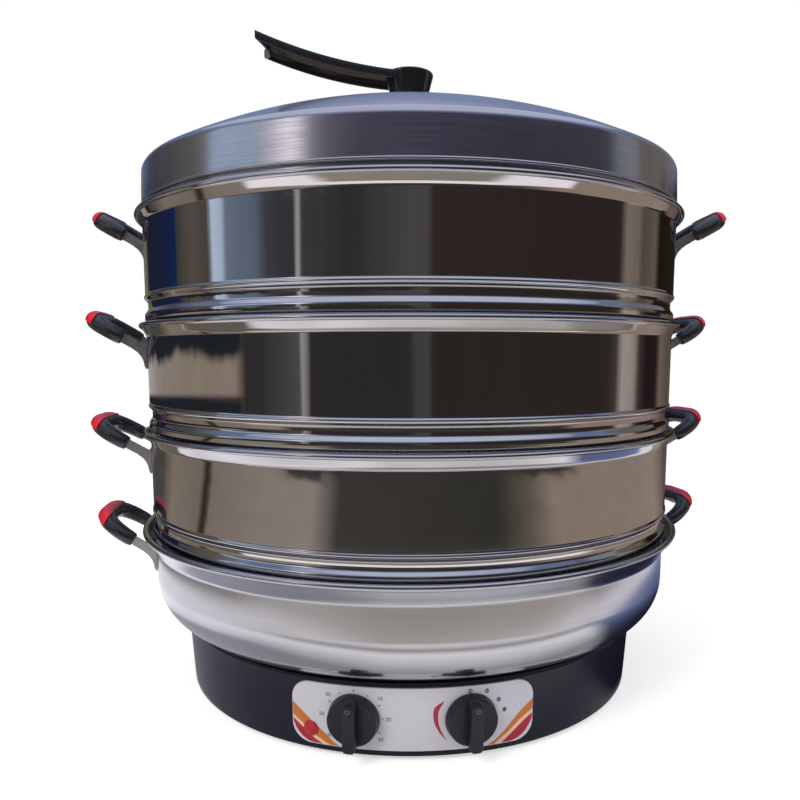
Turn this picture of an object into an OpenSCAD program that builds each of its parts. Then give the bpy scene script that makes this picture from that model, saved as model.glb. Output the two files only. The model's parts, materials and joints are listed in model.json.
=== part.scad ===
// Multi-tier electric steamer: heated base and pot, three stacked tiers and a lid.
// The Z axis is the axis of the pot, the origin is the floor under it, and the
// control panel faces -Y. Heights inside a tier are counted down from its rim.

/* [Sheet metal] */
// Outer radius of the straight tier wall
tier_r = 200; // [170:1:230]
// Sheet thickness of the tiers and the lid
sheet_t = 0.8; // [0.6:0.1:1.2]
// Sheet thickness of the pot
pot_t = 1; // [0.8:0.1:1.4]

/* [Tier] */
// Height that each tier adds to the stack
tier_pitch = 77; // [72:1:110]
// Length of wall from the rim down to the bead at the foot
wall_h = 57.3; // [50:0.5:62]
// How far the rim stands out from the wall
rim_out = 5.3; // [4.6:0.1:6.5]
// Radius of the rolled edge of the rim
rim_roll_r = 1.9; // [1.4:0.1:2.2]
// Height of the flare under the rim
flare_h = 10; // [8.5:0.5:12]
// Height of the bead above the waist
bead_h = 3.2; // [2:0.1:4]
// How far the bead stands out from the wall
bead_out = 0.8; // [0.4:0.1:1.2]
// How far the waist is drawn in from the wall
waist_in = 1.8; // [1.6:0.1:2.4]
// Height of the straight part of the waist
waist_h = 5.5; // [4:0.5:7]
// How far the foot ring stands out from the wall
foot_out = 0.6; // [0.4:0.1:1]
// Height of the foot ring
foot_h = 5; // [3:0.5:6]

/* [Steam trays] */
// Clearance between the tray's edge and the tier wall
tray_gap = 0.9; // [0.7:0.1:1.1]
// Thickness of the tray
tray_t = 1; // [0.8:0.1:1.5]
// Diameter of a steam hole
steam_hole_d = 10; // [6:0.5:14]
// Rings of steam holes round the middle hole
hole_rings = 5; // [3:1:6]

/* [Pot] */
// How far the pot's wall lies inside the line of the tiers' walls
pot_in = 1; // [0.5:0.1:1.5]
// Depth of the pot from its rim to its flat bottom
pot_h = 71.5; // [66:0.5:100]
// Radius of the pot's bottom corner
pot_corner_r = 34; // [20:1:40]
// How far the pot's rim stands out from its wall
pot_rim_out = 9.5; // [8:0.5:12]
// Radius of the rolled edge of the pot's rim
pot_roll_r = 2.2; // [1.6:0.1:2.6]
// Height of the flare under the pot's rim
pot_flare_h = 15.5; // [13:0.5:18]

/* [Lid] */
// Height of the lid's skirt above the rim that it sits in
skirt_h = 27; // [20:1:40]
// How far the skirt leans in over its height
skirt_lean = 0.9; // [0.2:0.1:2]
// Radius of the lid's shoulder
shoulder_r = 6; // [4:0.5:10]
// Slope of the dome where it leaves the shoulder
dome_edge_deg = 27.8; // [22:0.1:32]

/* [Lid handle] */
// Radius of the hub at its top
hub_top_r = 18.5; // [16:0.5:22]
// Radius of the hub's neck
hub_neck_r = 14.2; // [12:0.2:16]
// Radius of the hub's foot on the lid
hub_foot_r = 19; // [16:0.5:24]
// Height of the hub
hub_h = 35; // [30:1:45]
// Length of the arm from the hub's axis
arm_l = 115; // [90:1:130]
// Rise of the arm's tip above its root
arm_rise = 25; // [18:1:32]
// Width of the arm at its tip
arm_tip_w = 40; // [32:1:46]
// Width of the arm at the hub
arm_root_w = 31; // [26:1:34]
// Height of the arm's edge
arm_edge_h = 5.5; // [4:0.5:8]

/* [Side handles] */
// Distance between the two legs of a grip
leg_pitch = 65; // [60:1:80]
// Distance from the wall to the middle of the grip's bar
grip_reach = 43.4; // [41:0.2:50]
// Radius of the grip's bar
grip_r = 6.4; // [6:0.1:7.5]
// Radius of a leg at its inner end
leg_end_r = 5; // [4.8:0.1:5.8]
// Length of a leg inward from the middle of the bar
leg_l = 27; // [25:0.5:30]
// Slope of the tier handles
tier_tilt_deg = 30; // [20:1:34]
// Slope of the pot handles
pot_tilt_deg = 34; // [24:1:36]
// Thickness of the bracket
bracket_t = 1.5; // [1:0.1:2]
// Height of the bracket's wall plate
plate_h = 17; // [14:1:20]
// Height of the ears that carry the grip
ear_h = 6.6; // [5.6:0.2:7]
// Reach of the red cap inward from the middle of the bar
cap_reach = 2; // [0.5:0.1:3]

/* [Base] */
// How far the top of the base lies inside the pot's wall
base_in = 22; // [18:1:28]
// How much smaller the base's radius is at its bottom
base_taper = 3; // [1:0.5:4.5]
// Height of the base housing
base_h = 48.5; // [46:0.5:60]
// Wall of the base housing
base_t = 1.5; // [1.2:0.1:2.5]
// Height of the rubber feet
rubber_h = 3; // [2.5:0.5:8]

/* [Control panel] */
// Half of the angle that the panel covers
panel_half_deg = 25.5; // [25.5:0.5:30]
// Thickness of the panel
panel_t = 1.2; // [0.8:0.1:2]
// Radius of the panel's corners
panel_corner_r = 12; // [6:0.5:14]
// Angle of the timer knob from the middle of the panel
timer_deg = -13.3; // [-14:0.1:-12.5]
// Angle of the thermostat knob from the middle of the panel
thermostat_deg = 10.1; // [9.5:0.1:12]
// Angle of the pilot lamp from the middle of the panel
lamp_deg = -22.7; // [-23:0.1:-22]
// Height of the knobs above the middle of the panel
knob_rise = 0.25; // [0.25:0.25:3.5]
// Drop of the pilot lamp below the middle of the panel
lamp_drop = 10.5; // [7:0.25:11]

/* [Knobs] */
// Radius of the knob's skirt
knob_r = 16.5; // [15:0.5:18]
// Depth of the knob's skirt
knob_skirt_h = 7; // [6:0.5:10]
// Width of the knob's bar grip
knob_bar_w = 8; // [6:0.5:10]
// Height of the bar grip above the skirt
knob_bar_h = 8; // [7:0.5:12]
// Radius of the control shafts
shaft_r = 3; // [2.5:0.1:3.5]

/* [Hidden] */
$fn = 96;

// Overrun of cuts, gap at a seat between loose pieces, and gap of a fixed fit
overrun = 1;
seat_gap = 0.3;
fit_gap = 0.1;
running_gap = 0.05;

// How each stage of the stack is turned about the axis
pot_turn_deg = 6.75;
tier_turn_degs = [5.75, 5.75, -2.25];
lid_turn_deg = -2.25;

// Finishes
steel = "#b9b8bd";
satin_steel = "#c4c3c7";
bakelite = "#222225";
cap_red = "#cc1f38";
housing = "#34353d";
panel_white = "#cdccd6";
lamp_red = "#8f1a26";
brass = "#b59a55";
rubber = "#1b1b1c";
cast_aluminium = "#a3a5a8";
phenolic = "#2b2422";
wire_red = "#a92b2b";

// Outline of the flare: how far along its width and how far up its height
flare_shares = [[0, 0], [0.07, 0.12], [0.26, 0.32], [0.6, 0.62], [1, 1]];

// Tier outline, counted from the rim
rim_r = tier_r + rim_out;
flare_w = rim_out - rim_roll_r;
flare_top = -rim_roll_r * 1.6;
flare_rise = flare_h + flare_top;
step_h = 1.7;
ramp_h = 3;
bead_steps = 6;
chamfer = 0.4;
spigot_out = 0.2;
spigot_r = tier_r + spigot_out;
bead_z = -wall_h;
waist_top_z = bead_z - bead_h - step_h;
waist_low_z = waist_top_z - waist_h;
foot_top_z = waist_low_z - ramp_h;
foot_low_z = foot_top_z - foot_h;

function flare_pts(r, width, top, rise) =
    [for (s = flare_shares) [r + s[0] * width, top - rise + s[1] * rise]];
function shifted(pts, dr) = [for (p = pts) [p[0] + dr, p[1]]];
function reversed(pts) = [for (i = [len(pts) - 1 : -1 : 0]) pts[i]];

tier_flare = flare_pts(tier_r, flare_w, flare_top, flare_rise);
// Height in a tier's flare at which the foot above comes to rest
tier_seat_z = lookup(spigot_r, shifted(tier_flare, -sheet_t)) + seat_gap;
spigot_l = tier_pitch - tier_seat_z;

// Pot
pot_r = tier_r - pot_in;
base_top_z = rubber_h + base_h;
pot_rim_z = base_top_z + pot_h;
pot_rim_r = pot_r + pot_rim_out;
pot_flare_top = -pot_roll_r * 2.1;
pot_flare_w = pot_rim_out - pot_roll_r;
pot_flare_rise = pot_flare_h + pot_flare_top;
pot_flare = flare_pts(pot_r, pot_flare_w, pot_flare_top, pot_flare_rise);
pot_seat_z = pot_rim_z + lookup(spigot_r, shifted(pot_flare, -pot_t)) + seat_gap;
corner_steps = 12;

// Rims of the tiers, bottom one first
tier_rims = [for (i = [0 : 2]) pot_seat_z + spigot_l + i * tier_pitch];

// Steam tray
tray_r = tier_r - sheet_t - tray_gap;
tray_lip_r = 1.4;
tray_margin = 22;
// The tray's lip rests on the slope at the top of the waist
rest_deg = atan2(step_h, waist_in);
rest_run = tray_r - tray_lip_r - (tier_r - sheet_t - waist_in);
tray_z = waist_top_z - tray_lip_r
    + (tray_lip_r + seat_gap + rest_run * sin(rest_deg)) / cos(rest_deg);

// Lid, counted from the rim of the top tier
lid_rim_z = tier_rims[2];
lid_low_z = lid_rim_z + tier_seat_z;
skirt_top_r = spigot_r - skirt_lean;
shoulder_z = lid_rim_z + skirt_h;
shoulder_steps = 8;
dome_steps = 18;
lid_roll_r = 1.2;
lid_roll_z = lid_rim_z + lid_roll_r * 3.6;
dome_edge_r = skirt_top_r - shoulder_r + shoulder_r * sin(dome_edge_deg);
dome_edge_z = shoulder_z + shoulder_r * cos(dome_edge_deg);
dome_r = dome_edge_r / sin(dome_edge_deg);
dome_top_z = dome_edge_z + dome_r * (1 - cos(dome_edge_deg));

// Lid handle
hub_z = dome_top_z;
hub_top_z = hub_z + hub_h;
hub_foot_h = 5;
hub_round_r = 2.5;
hub_neck_low = 9;
hub_flare_z = 21;
lid_screw_r = 2.5;
lid_screw_l = 22;
lid_screw_head_r = 5;
lid_screw_head_h = 3;
washer_r = 12;
washer_t = 1;
// The washer's rim touches the inside of the dome first
washer_z = hub_z - sheet_t - fit_gap - washer_t - pow(washer_r, 2) / (2 * (dome_r - sheet_t));
arm_wall = 3;
arm_skin = 2.4;
arm_notch_r = 34;
arm_notch_d = 5;
arm_run = arm_l - hub_neck_r;
// Radius of the arm's upward curve, which leaves the hub at arm_start_deg
arm_start_deg = 6.3;
arm_bow_h = arm_rise - arm_run * tan(arm_start_deg);
arm_curve_r = pow(arm_run, 2) / (2 * arm_bow_h);
arm_top_z = hub_top_z - 0.6 * hub_round_r;

// Side handles
leg_y = leg_pitch / 2;
leg_straight = 3.5;
corner_r = leg_l - leg_straight;
bracket_gap = 0.2;
root_drop = 18.6;
plate_drop = 3;
plate_deg = 2 * asin((leg_y + ear_h / 2) / tier_r);
ear_t = 1.8;
ear_depth = 9;
web_l = 8.6;
web_step = 0.3;
slot_gap = 0.1;
cap_t = 1.6;
cap_proud = 0.6;
cap_low = 2.5;
ear_end = grip_reach - leg_l + ear_depth;
rivet_y = 17;
rivet_r = 2;
rivet_head_r = 3.6;
rivet_head_h = 1.1;
rivet_flush_h = 0.5;
rivet_drop = 5.5;
rivet_hole_l = 2 * (bracket_gap + bracket_t + pot_t + overrun);

// Base
base_top_r = pot_r - base_in;
base_bottom_r = base_top_r - base_taper;
base_corner_r = 2;
flange_w = 27;
flange_in_r = base_top_r - flange_w;
lip_w = 16;
lip_in_r = base_bottom_r - lip_w;
cover_t = 1.2;
lip_low_z = rubber_h + cover_t;
cover_gap = 0.5;
cover_r = base_bottom_r - base_t - cover_gap;
vent_count = 24;
vent_in = 64;
vent_r = base_bottom_r - vent_in;
vent_w = 4;
vent_l = 24;
rubber_r = 10;
rubber_in = 34;
rubber_at_r = base_bottom_r - rubber_in;
rubber_stud_r = 3;
rubber_stud_h = 5;
cover_screw_in = 9;
cover_screw_at_r = base_bottom_r - cover_screw_in;
cover_screw_r = 1.6;
cover_screw_l = 5;
cover_screw_head_r = 3.2;
cover_screw_head_h = 1.6;
cover_screw_count = 6;

function wall_r_at(z) =
    base_bottom_r + (base_top_r - base_bottom_r) * (z - rubber_h) / (base_h - base_corner_r);
wall_lean_deg = atan2(base_top_r - base_bottom_r, base_h - base_corner_r);

// Controls
// The panel's middle lies a little to the left of the front
panel_deg = -1.4;
panel_low_margin = 4.5;
panel_top_margin = 2.5;
panel_low_z = rubber_h + panel_low_margin;
panel_h = base_h - panel_low_margin - panel_top_margin;
knob_z = panel_low_z + panel_h / 2 + knob_rise;
lamp_z = panel_low_z + panel_h / 2 - lamp_drop;
body_w = 36;
body_d = 24;
body_set_back = 3;
body_top_gap = 1.2;
control_depth = base_t + body_set_back + body_d;
// The control bodies reach up to a gap under the base's flange
body_h = 2 * (base_top_z - base_t - body_top_gap - knob_z - control_depth * sin(wall_lean_deg))
    / cos(wall_lean_deg);
neck_r = 5;
neck_bore_d = 12;
hole_gap = 0.4;
screw_y = 10;
screw_r = 1.5;
screw_head_r = 2.7;
screw_head_h = 1.5;
screw_l = 9;
screw_boss_r = 3.4;
knob_gap = 0.5;
knob_wall = 2;
knob_floor = 2.4;
knob_boss_r = 5.5;
knob_draft = 1;
knob_bore_d = 11;
lamp_r = 4;
lamp_bezel_r = 5;
lamp_out = 1.8;
lamp_body_l = 10;

// Power inlet, on the back of the base
inlet_z = 27;
inlet_w = 31;
inlet_h = 25;
inlet_flange = 4;
inlet_flange_t = 2;
inlet_d = 22;
inlet_wall = 2.4;
inlet_floor = 4;
inlet_corner_r = 4;
pin_w = 6.3;
pin_t = 2;
pin_l = 22;
pin_pitch = 8;
pin_tail = 7;

// Heating parts under the pot
plate_in = 50;
plate_r = pot_r - pot_corner_r - plate_in;
plate_t = 8;
plate_z = base_top_z - plate_t;
element_r = 4.2;
element_in = 33;
element_at_r = plate_r - element_in;
element_gap_deg = 16;
element_z = plate_z;
terminal_r = 2.6;
cutout_r = 8.5;
cutout_h = 7;
cutout_in = 50;
cutout_x = element_at_r - cutout_in;
shield_over = 17;
shield_r = plate_r + shield_over;
shield_t = 0.6;
shield_z = 29;
shield_rim_h = 5;
stud_r = 2.5;
stud_in = 24;
stud_at_r = element_at_r - stud_in;
stud_long = 28;
flange_stud_in = 20;
flange_stud_at_r = base_top_r - flange_stud_in;
flange_stud_l = 8;
nut_r = 4.6;
nut_h = 3.6;
nut_z_plate = plate_z - nut_h;

// Wires
wire_r = 1.5;
lead_r = 1.2;
lead_deg = 3;
lead_spare_deg = 2;
loom_in = 31;
wire_at_r = base_bottom_r - loom_in;
wire_z = 22;
terminal_l = element_z - wire_z - wire_r - fit_gap;
// Radius of a control body's back face, on its own middle line, at the wires' height
control_back_r = wall_r_at(knob_z) - control_depth * cos(wall_lean_deg)
    + (wire_z - knob_z - control_depth * sin(wall_lean_deg)) * tan(wall_lean_deg);
pin_end = inlet_d + pin_tail;
pin_end_y = wall_r_at(inlet_z) - pin_end * cos(wall_lean_deg) - pin_pitch / 2 * sin(wall_lean_deg);
pin_end_z = inlet_z + pin_end * sin(wall_lean_deg) - pin_pitch / 2 * cos(wall_lean_deg);

module along(side) { rotate([0, 0, side * 180]) children(); }

module ring_solid(pts) { rotate_extrude() polygon(pts); }

// Rolled edge: a full ring of wire section
module roll(r, z, section_r) {
    rotate_extrude() translate([r, z]) circle(r = section_r, $fn = 32);
}

// Round bar between two points
module rod(a, b, r) {
    d = b - a;
    translate(a)
        rotate([0, acos(d[2] / norm(d)), atan2(d[1], d[0])])
            cylinder(r = r, h = norm(d), $fn = 24);
}

// Places something on a wall: its X axis points out of the wall, and slopes up by tilt
module on_wall(turn, side, z) { translate([0, 0, z]) rotate([0, 0, turn + side * 180]) children(); }

module sloped(wall_r, tilt) { translate([wall_r, 0, 0]) rotate([0, -tilt, 0]) children(); }

module rivet_holes(wall_r, turn, z) {
    for (side = [0, 1], s = [-1, 1])
        on_wall(turn, side, z)
            rotate([0, 0, s * asin(rivet_y / wall_r)])
                translate([wall_r - rivet_hole_l / 2, 0, -rivet_drop])
                    rotate([0, 90, 0])
                        cylinder(r = rivet_r, h = rivet_hole_l, $fn = 24);
}

module rivets(wall_r, sheet, turn, z) {
    shank = sheet + bracket_gap + bracket_t;
    color(steel)
        for (side = [0, 1], s = [-1, 1])
            on_wall(turn, side, z)
                rotate([0, 0, s * asin(rivet_y / wall_r)])
                    translate([wall_r - sheet, 0, -rivet_drop])
                        rotate([0, 90, 0]) {
                            translate([0, 0, -fit_gap - rivet_flush_h])
                                cylinder(r = rivet_head_r, h = rivet_flush_h, $fn = 24);
                            translate([0, 0, -fit_gap - rivet_flush_h / 2])
                                cylinder(r = rivet_r - running_gap, h = shank + rivet_head_h, $fn = 24);
                            translate([0, 0, shank + fit_gap])
                                cylinder(r1 = rivet_head_r, r2 = rivet_head_r * 0.6,
                                         h = rivet_head_h, $fn = 24);
                        }
}

// Ear that slopes up from the plate into the grip, with a hollowed web in the corner under it
module ear(tilt, plate_x) {
    corner = [plate_x, plate_x * tan(tilt) - ear_h / 2 / cos(tilt)];
    slope = [cos(tilt), sin(tilt)];
    low = corner - [0, web_l];
    high = corner + web_l * slope;
    web_r = web_l * tan(45 + tilt / 2);
    middle = low + [web_r, 0];
    translate([0, ear_t / 2, 0])
        rotate([90, 0, 0])
            linear_extrude(height = ear_t)
                difference() {
                    union() {
                        rotate(tilt)
                            translate([-ear_depth, -ear_h / 2])
                                square([ear_depth + ear_end, ear_h]);
                        polygon([[-ear_depth, low[1]], low, middle,
                                 high + ear_h / 2 * [-slope[1], slope[0]], [0, 0], [-ear_depth, 0]]);
                    }
                    translate(middle) circle(r = web_r - web_step);
                }
}

// Steel bracket: a plate round the wall with two ears that slope up into the grip
module bracket(wall_r, tilt, turn, side, z) {
    start_r = wall_r + bracket_gap;
    plate_x = sqrt(pow(start_r + bracket_t, 2) - pow(leg_y, 2)) - wall_r + web_step;
    color(steel)
        difference() {
            on_wall(turn, side, z) {
                rotate([0, 0, -plate_deg / 2])
                    rotate_extrude(angle = plate_deg)
                        translate([start_r, plate_drop - plate_h])
                            square([bracket_t, plate_h]);
                difference() {
                    for (s = [-1, 1])
                        translate([wall_r, s * leg_y, 0]) ear(tilt, plate_x);
                    translate([0, 0, -2 * plate_h])
                        cylinder(r = start_r + bracket_t / 2, h = 4 * plate_h);
                }
            }
            rivet_holes(wall_r, turn, z);
        }
}

// Bar of a grip with its two round corners
module grip_bend(r) {
    straight = leg_y - corner_r;
    translate([grip_reach, straight, 0])
        rotate([90, 0, 0])
            cylinder(r = r, h = 2 * straight, $fn = 48);
    for (s = [0, 1])
        mirror([0, s, 0])
            translate([grip_reach - corner_r, straight, 0])
                rotate_extrude(angle = 90)
                    translate([corner_r, 0])
                        circle(r = r, $fn = 48);
}

// The bend's skin on its outer and upper side
module cap_skin(inner, outer, spare) {
    intersection() {
        difference() {
            grip_bend(outer);
            grip_bend(inner);
        }
        translate([grip_reach - cap_reach - spare, -2 * leg_y, -cap_low - spare])
            cube([leg_pitch, 2 * leg_pitch, leg_pitch]);
    }
}

// Bent grip: a bar with two round corners and two tapering legs with ear slots
module grip(wall_r, tilt, turn, side, z) {
    color(bakelite)
        on_wall(turn, side, z)
            sloped(wall_r, tilt)
                difference() {
                    union() {
                        grip_bend(grip_r);
                        for (s = [-1, 1])
                            translate([grip_reach - corner_r, s * leg_y, 0])
                                rotate([0, -90, 0])
                                    cylinder(r1 = grip_r, r2 = leg_end_r,
                                             h = leg_l - corner_r, $fn = 48);
                    }
                    cap_skin(grip_r + cap_proud - cap_t - fit_gap, grip_r + overrun, fit_gap);
                    for (s = [-1, 1])
                        translate([grip_reach - leg_l - overrun,
                                   s * leg_y - ear_t / 2 - slot_gap, -ear_h / 2 - slot_gap])
                            cube([ear_depth + 2 * overrun, ear_t + 2 * slot_gap,
                                  ear_h + 2 * slot_gap]);
                }
}

module grip_caps(wall_r, tilt, turn, z) {
    color(cap_red)
        for (side = [0, 1])
            on_wall(turn, side, z)
                sloped(wall_r, tilt)
                    cap_skin(grip_r + cap_proud - cap_t, grip_r + cap_proud, 0);
}

module tier_bracket(i, side) {
    bracket(tier_r, tier_tilt_deg, tier_turn_degs[i], side, tier_rims[i] - root_drop);
}
module tier_grip(i, side) {
    grip(tier_r, tier_tilt_deg, tier_turn_degs[i], side, tier_rims[i] - root_drop);
}
module tier_caps(i) { grip_caps(tier_r, tier_tilt_deg, tier_turn_degs[i], tier_rims[i] - root_drop); }
module tier_rivets(i) { rivets(tier_r, sheet_t, tier_turn_degs[i], tier_rims[i] - root_drop); }

module pot_bracket(side) { bracket(pot_r, pot_tilt_deg, pot_turn_deg, side, pot_rim_z - root_drop); }
module pot_grip(side) { grip(pot_r, pot_tilt_deg, pot_turn_deg, side, pot_rim_z - root_drop); }
module pot_caps() { grip_caps(pot_r, pot_tilt_deg, pot_turn_deg, pot_rim_z - root_drop); }
module pot_rivets() { rivets(pot_r, pot_t, pot_turn_deg, pot_rim_z - root_drop); }

// Tier shell, with its rim at height z
function bead_pts() =
    [for (i = [0 : bead_steps])
        [tier_r + bead_out * sin(180 * i / bead_steps), bead_z - bead_h * i / bead_steps]];

function tier_outline() = concat(
    [[rim_r - rim_roll_r, -rim_roll_r]],
    reversed(tier_flare),
    bead_pts(),
    [[tier_r - waist_in, waist_top_z], [tier_r - waist_in, waist_low_z],
     [tier_r + foot_out, foot_top_z], [tier_r + foot_out, foot_low_z],
     [spigot_r, foot_low_z - spigot_out], [spigot_r, chamfer - spigot_l],
     [spigot_r - chamfer, -spigot_l]]);

module tier_shell(i) {
    outline = tier_outline();
    color(steel)
        difference() {
            translate([0, 0, tier_rims[i]]) {
                ring_solid(concat(outline, reversed(shifted(outline, -sheet_t))));
                roll(rim_r - rim_roll_r, -rim_roll_r, rim_roll_r);
            }
            rivet_holes(tier_r, tier_turn_degs[i], tier_rims[i] - root_drop);
        }
}

// Perforated tray with a rolled lip
module steam_tray(i) {
    ring_step = (tray_r - tray_margin) / hole_rings;
    color(steel)
        translate([0, 0, tier_rims[i] + tray_z]) {
            difference() {
                cylinder(r = tray_r - tray_lip_r, h = tray_t);
                translate([0, 0, -overrun])
                    for (k = [0 : hole_rings], j = [0 : max(6 * k, 1) - 1])
                        rotate([0, 0, j * 360 / max(6 * k, 1)])
                            translate([k * ring_step, 0, 0])
                                cylinder(d = steam_hole_d, h = tray_t + 2 * overrun, $fn = 24);
            }
            roll(tray_r - tray_lip_r, tray_lip_r, tray_lip_r);
        }
}

// Pot outline from the rim down to the middle of the bottom
function pot_outline(inset) = concat(
    [[pot_rim_r - pot_roll_r - inset, pot_rim_z - pot_roll_r]],
    [for (p = reversed(pot_flare)) [p[0] - inset, p[1] + pot_rim_z]],
    [for (i = [0 : corner_steps])
        [pot_r - pot_corner_r + (pot_corner_r - inset) * cos(90 * i / corner_steps),
         base_top_z + pot_corner_r - (pot_corner_r - inset) * sin(90 * i / corner_steps)]],
    [[0, base_top_z + inset]]);

module pot_shell() {
    color(satin_steel)
        difference() {
            union() {
                ring_solid(concat(pot_outline(0), reversed(pot_outline(pot_t))));
                roll(pot_rim_r - pot_roll_r, pot_rim_z - pot_roll_r, pot_roll_r);
            }
            rivet_holes(pot_r, pot_turn_deg, pot_rim_z - root_drop);
        }
}

// Skirt outline from its foot up to the shoulder
function skirt_outline(inset) =
    [[spigot_r - chamfer - inset, lid_low_z], [spigot_r - inset, lid_low_z + chamfer],
     [skirt_top_r - inset, shoulder_z]];

// Dome outline from the shoulder up to the top
function dome_outline(inset) = concat(
    [for (i = [0 : shoulder_steps])
        [skirt_top_r - shoulder_r + (shoulder_r - inset) * cos((90 - dome_edge_deg) * i / shoulder_steps),
         shoulder_z + (shoulder_r - inset) * sin((90 - dome_edge_deg) * i / shoulder_steps)]],
    [for (i = [1 : dome_steps])
        [(dome_r - inset) * sin(dome_edge_deg * (1 - i / dome_steps)),
         dome_top_z - dome_r + (dome_r - inset) * cos(dome_edge_deg * (1 - i / dome_steps))]]);

module lid_dome() {
    color(steel)
        difference() {
            ring_solid(concat(dome_outline(0), reversed(dome_outline(sheet_t))));
            cylinder(r = lid_screw_r + hole_gap, h = 2 * hub_z);
        }
}

module lid_skirt() {
    color(steel) {
        ring_solid(concat(skirt_outline(0), reversed(skirt_outline(sheet_t))));
        difference() {
            roll(spigot_r - lid_roll_r / 2, lid_roll_z, lid_roll_r);
            cylinder(r = spigot_r - sheet_t, h = hub_z);
        }
    }
}

// Side view of the arm: a band between two arcs about the same centre
module arm_band(low, high) {
    rotate([90, 0, 0])
        translate([0, 0, -arm_tip_w])
            linear_extrude(height = 2 * arm_tip_w)
                intersection() {
                    translate([arm_curve_r * sin(arm_start_deg) - hub_neck_r,
                               arm_top_z + arm_curve_r * cos(arm_start_deg)])
                        difference() {
                            circle(r = arm_curve_r + high, $fn = 360);
                            circle(r = arm_curve_r + low, $fn = 360);
                        }
                    translate([-arm_l - overrun, hub_z])
                        square([arm_l, 3 * hub_h]);
                }
}

module arm_plan(inset) {
    translate([0, 0, hub_z])
        linear_extrude(height = 3 * hub_h)
            difference() {
                polygon([[-hub_neck_r / 2, inset - arm_root_w / 2],
                         [inset - arm_l, inset - arm_tip_w / 2],
                         [inset - arm_l, arm_tip_w / 2 - inset],
                         [-hub_neck_r / 2, arm_root_w / 2 - inset]]);
                translate([-arm_l - arm_notch_r + arm_notch_d + inset, 0])
                    circle(r = arm_notch_r);
            }
}

// Stand-up handle: a flared hub and one hollow arm that curves up
module lid_handle() {
    color(bakelite)
        rotate([0, 0, lid_turn_deg])
            difference() {
                union() {
                    ring_solid([[0, hub_z], [hub_foot_r, hub_z], [hub_foot_r, hub_z + hub_foot_h / 2],
                                [hub_neck_r, hub_z + hub_neck_low],
                                [hub_neck_r, hub_z + hub_flare_z],
                                [hub_top_r, hub_top_z - 2 * hub_round_r],
                                [hub_top_r, hub_top_z - hub_round_r],
                                [hub_top_r - hub_round_r, hub_top_z], [0, hub_top_z]]);
                    intersection() {
                        arm_band(0, arm_edge_h);
                        arm_plan(0);
                    }
                }
                difference() {
                    intersection() {
                        arm_band(arm_skin, arm_edge_h + overrun);
                        arm_plan(arm_wall);
                    }
                    cylinder(r = hub_top_r, h = 2 * hub_top_z);
                }
                translate([0, 0, hub_z - overrun])
                    cylinder(r = lid_screw_r, h = lid_screw_l);
            }
}

module lid_handle_screw() {
    color(steel) {
        translate([0, 0, washer_z - fit_gap - lid_screw_head_h])
            cylinder(r = lid_screw_head_r, h = lid_screw_head_h);
        translate([0, 0, washer_z - fit_gap - lid_screw_head_h / 2])
            cylinder(r = lid_screw_r - running_gap, h = lid_screw_l);
    }
}

module lid_washer() {
    color(steel)
        translate([0, 0, washer_z])
            difference() {
                cylinder(r = washer_r, h = washer_t);
                translate([0, 0, -overrun])
                    cylinder(r = lid_screw_r + hole_gap, h = washer_t + 2 * overrun);
            }
}

// Places a control: Z points out of the leaning wall and Y points up it
module at_control(deg, z) {
    rotate([0, 0, deg])
        translate([0, -wall_r_at(z), z])
            rotate([90 + wall_lean_deg, 0, 0])
                children();
}

module control_holes() {
    deep = 2 * (base_t + panel_t);
    for (deg = [timer_deg, thermostat_deg])
        at_control(deg, knob_z) {
            translate([0, 0, -deep])
                cylinder(r = shaft_r + hole_gap, h = 2 * deep, $fn = 32);
            for (s = [-1, 1])
                translate([0, s * screw_y, -deep])
                    cylinder(r = screw_r + fit_gap, h = 2 * deep, $fn = 24);
        }
    at_control(lamp_deg, lamp_z)
        translate([0, 0, -deep])
            cylinder(r = lamp_r + fit_gap, h = 2 * deep, $fn = 32);
}

module base_shell() {
    outer_top = base_top_z - base_corner_r;
    color(housing)
        difference() {
            ring_solid(concat(
                [[base_bottom_r, rubber_h], [base_top_r, outer_top]],
                [for (a = [22.5 : 22.5 : 90])
                    [base_top_r - base_corner_r + base_corner_r * cos(a),
                     outer_top + base_corner_r * sin(a)]],
                [[flange_in_r, base_top_z], [flange_in_r, base_top_z - base_t],
                 [base_top_r - base_corner_r, base_top_z - base_t],
                 [base_top_r - base_t, outer_top - base_t],
                 [wall_r_at(lip_low_z + base_t) - base_t, lip_low_z + base_t],
                 [lip_in_r, lip_low_z + base_t], [lip_in_r, lip_low_z],
                 [wall_r_at(lip_low_z) - base_t, lip_low_z],
                 [base_bottom_r - base_t, rubber_h]]));
            control_holes();
            at_control(180, inlet_z)
                translate([0, 0, -inlet_d])
                    linear_extrude(height = 2 * inlet_d)
                        rounded_plan(inlet_w + 2 * fit_gap, inlet_h + 2 * fit_gap, inlet_corner_r);
            for (k = [0 : cover_screw_count - 1])
                rotate([0, 0, k * 360 / cover_screw_count])
                    translate([cover_screw_at_r, 0, rubber_h])
                        cylinder(r = cover_screw_r, h = cover_t + 2 * base_t, $fn = 24);
            for (k = [0 : 3])
                rotate([0, 0, 45 + k * 90])
                    translate([flange_stud_at_r, 0, base_top_z - 2 * base_t])
                        cylinder(r = stud_r + hole_gap, h = 2 * base_t + overrun, $fn = 24);
        }
}

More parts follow.
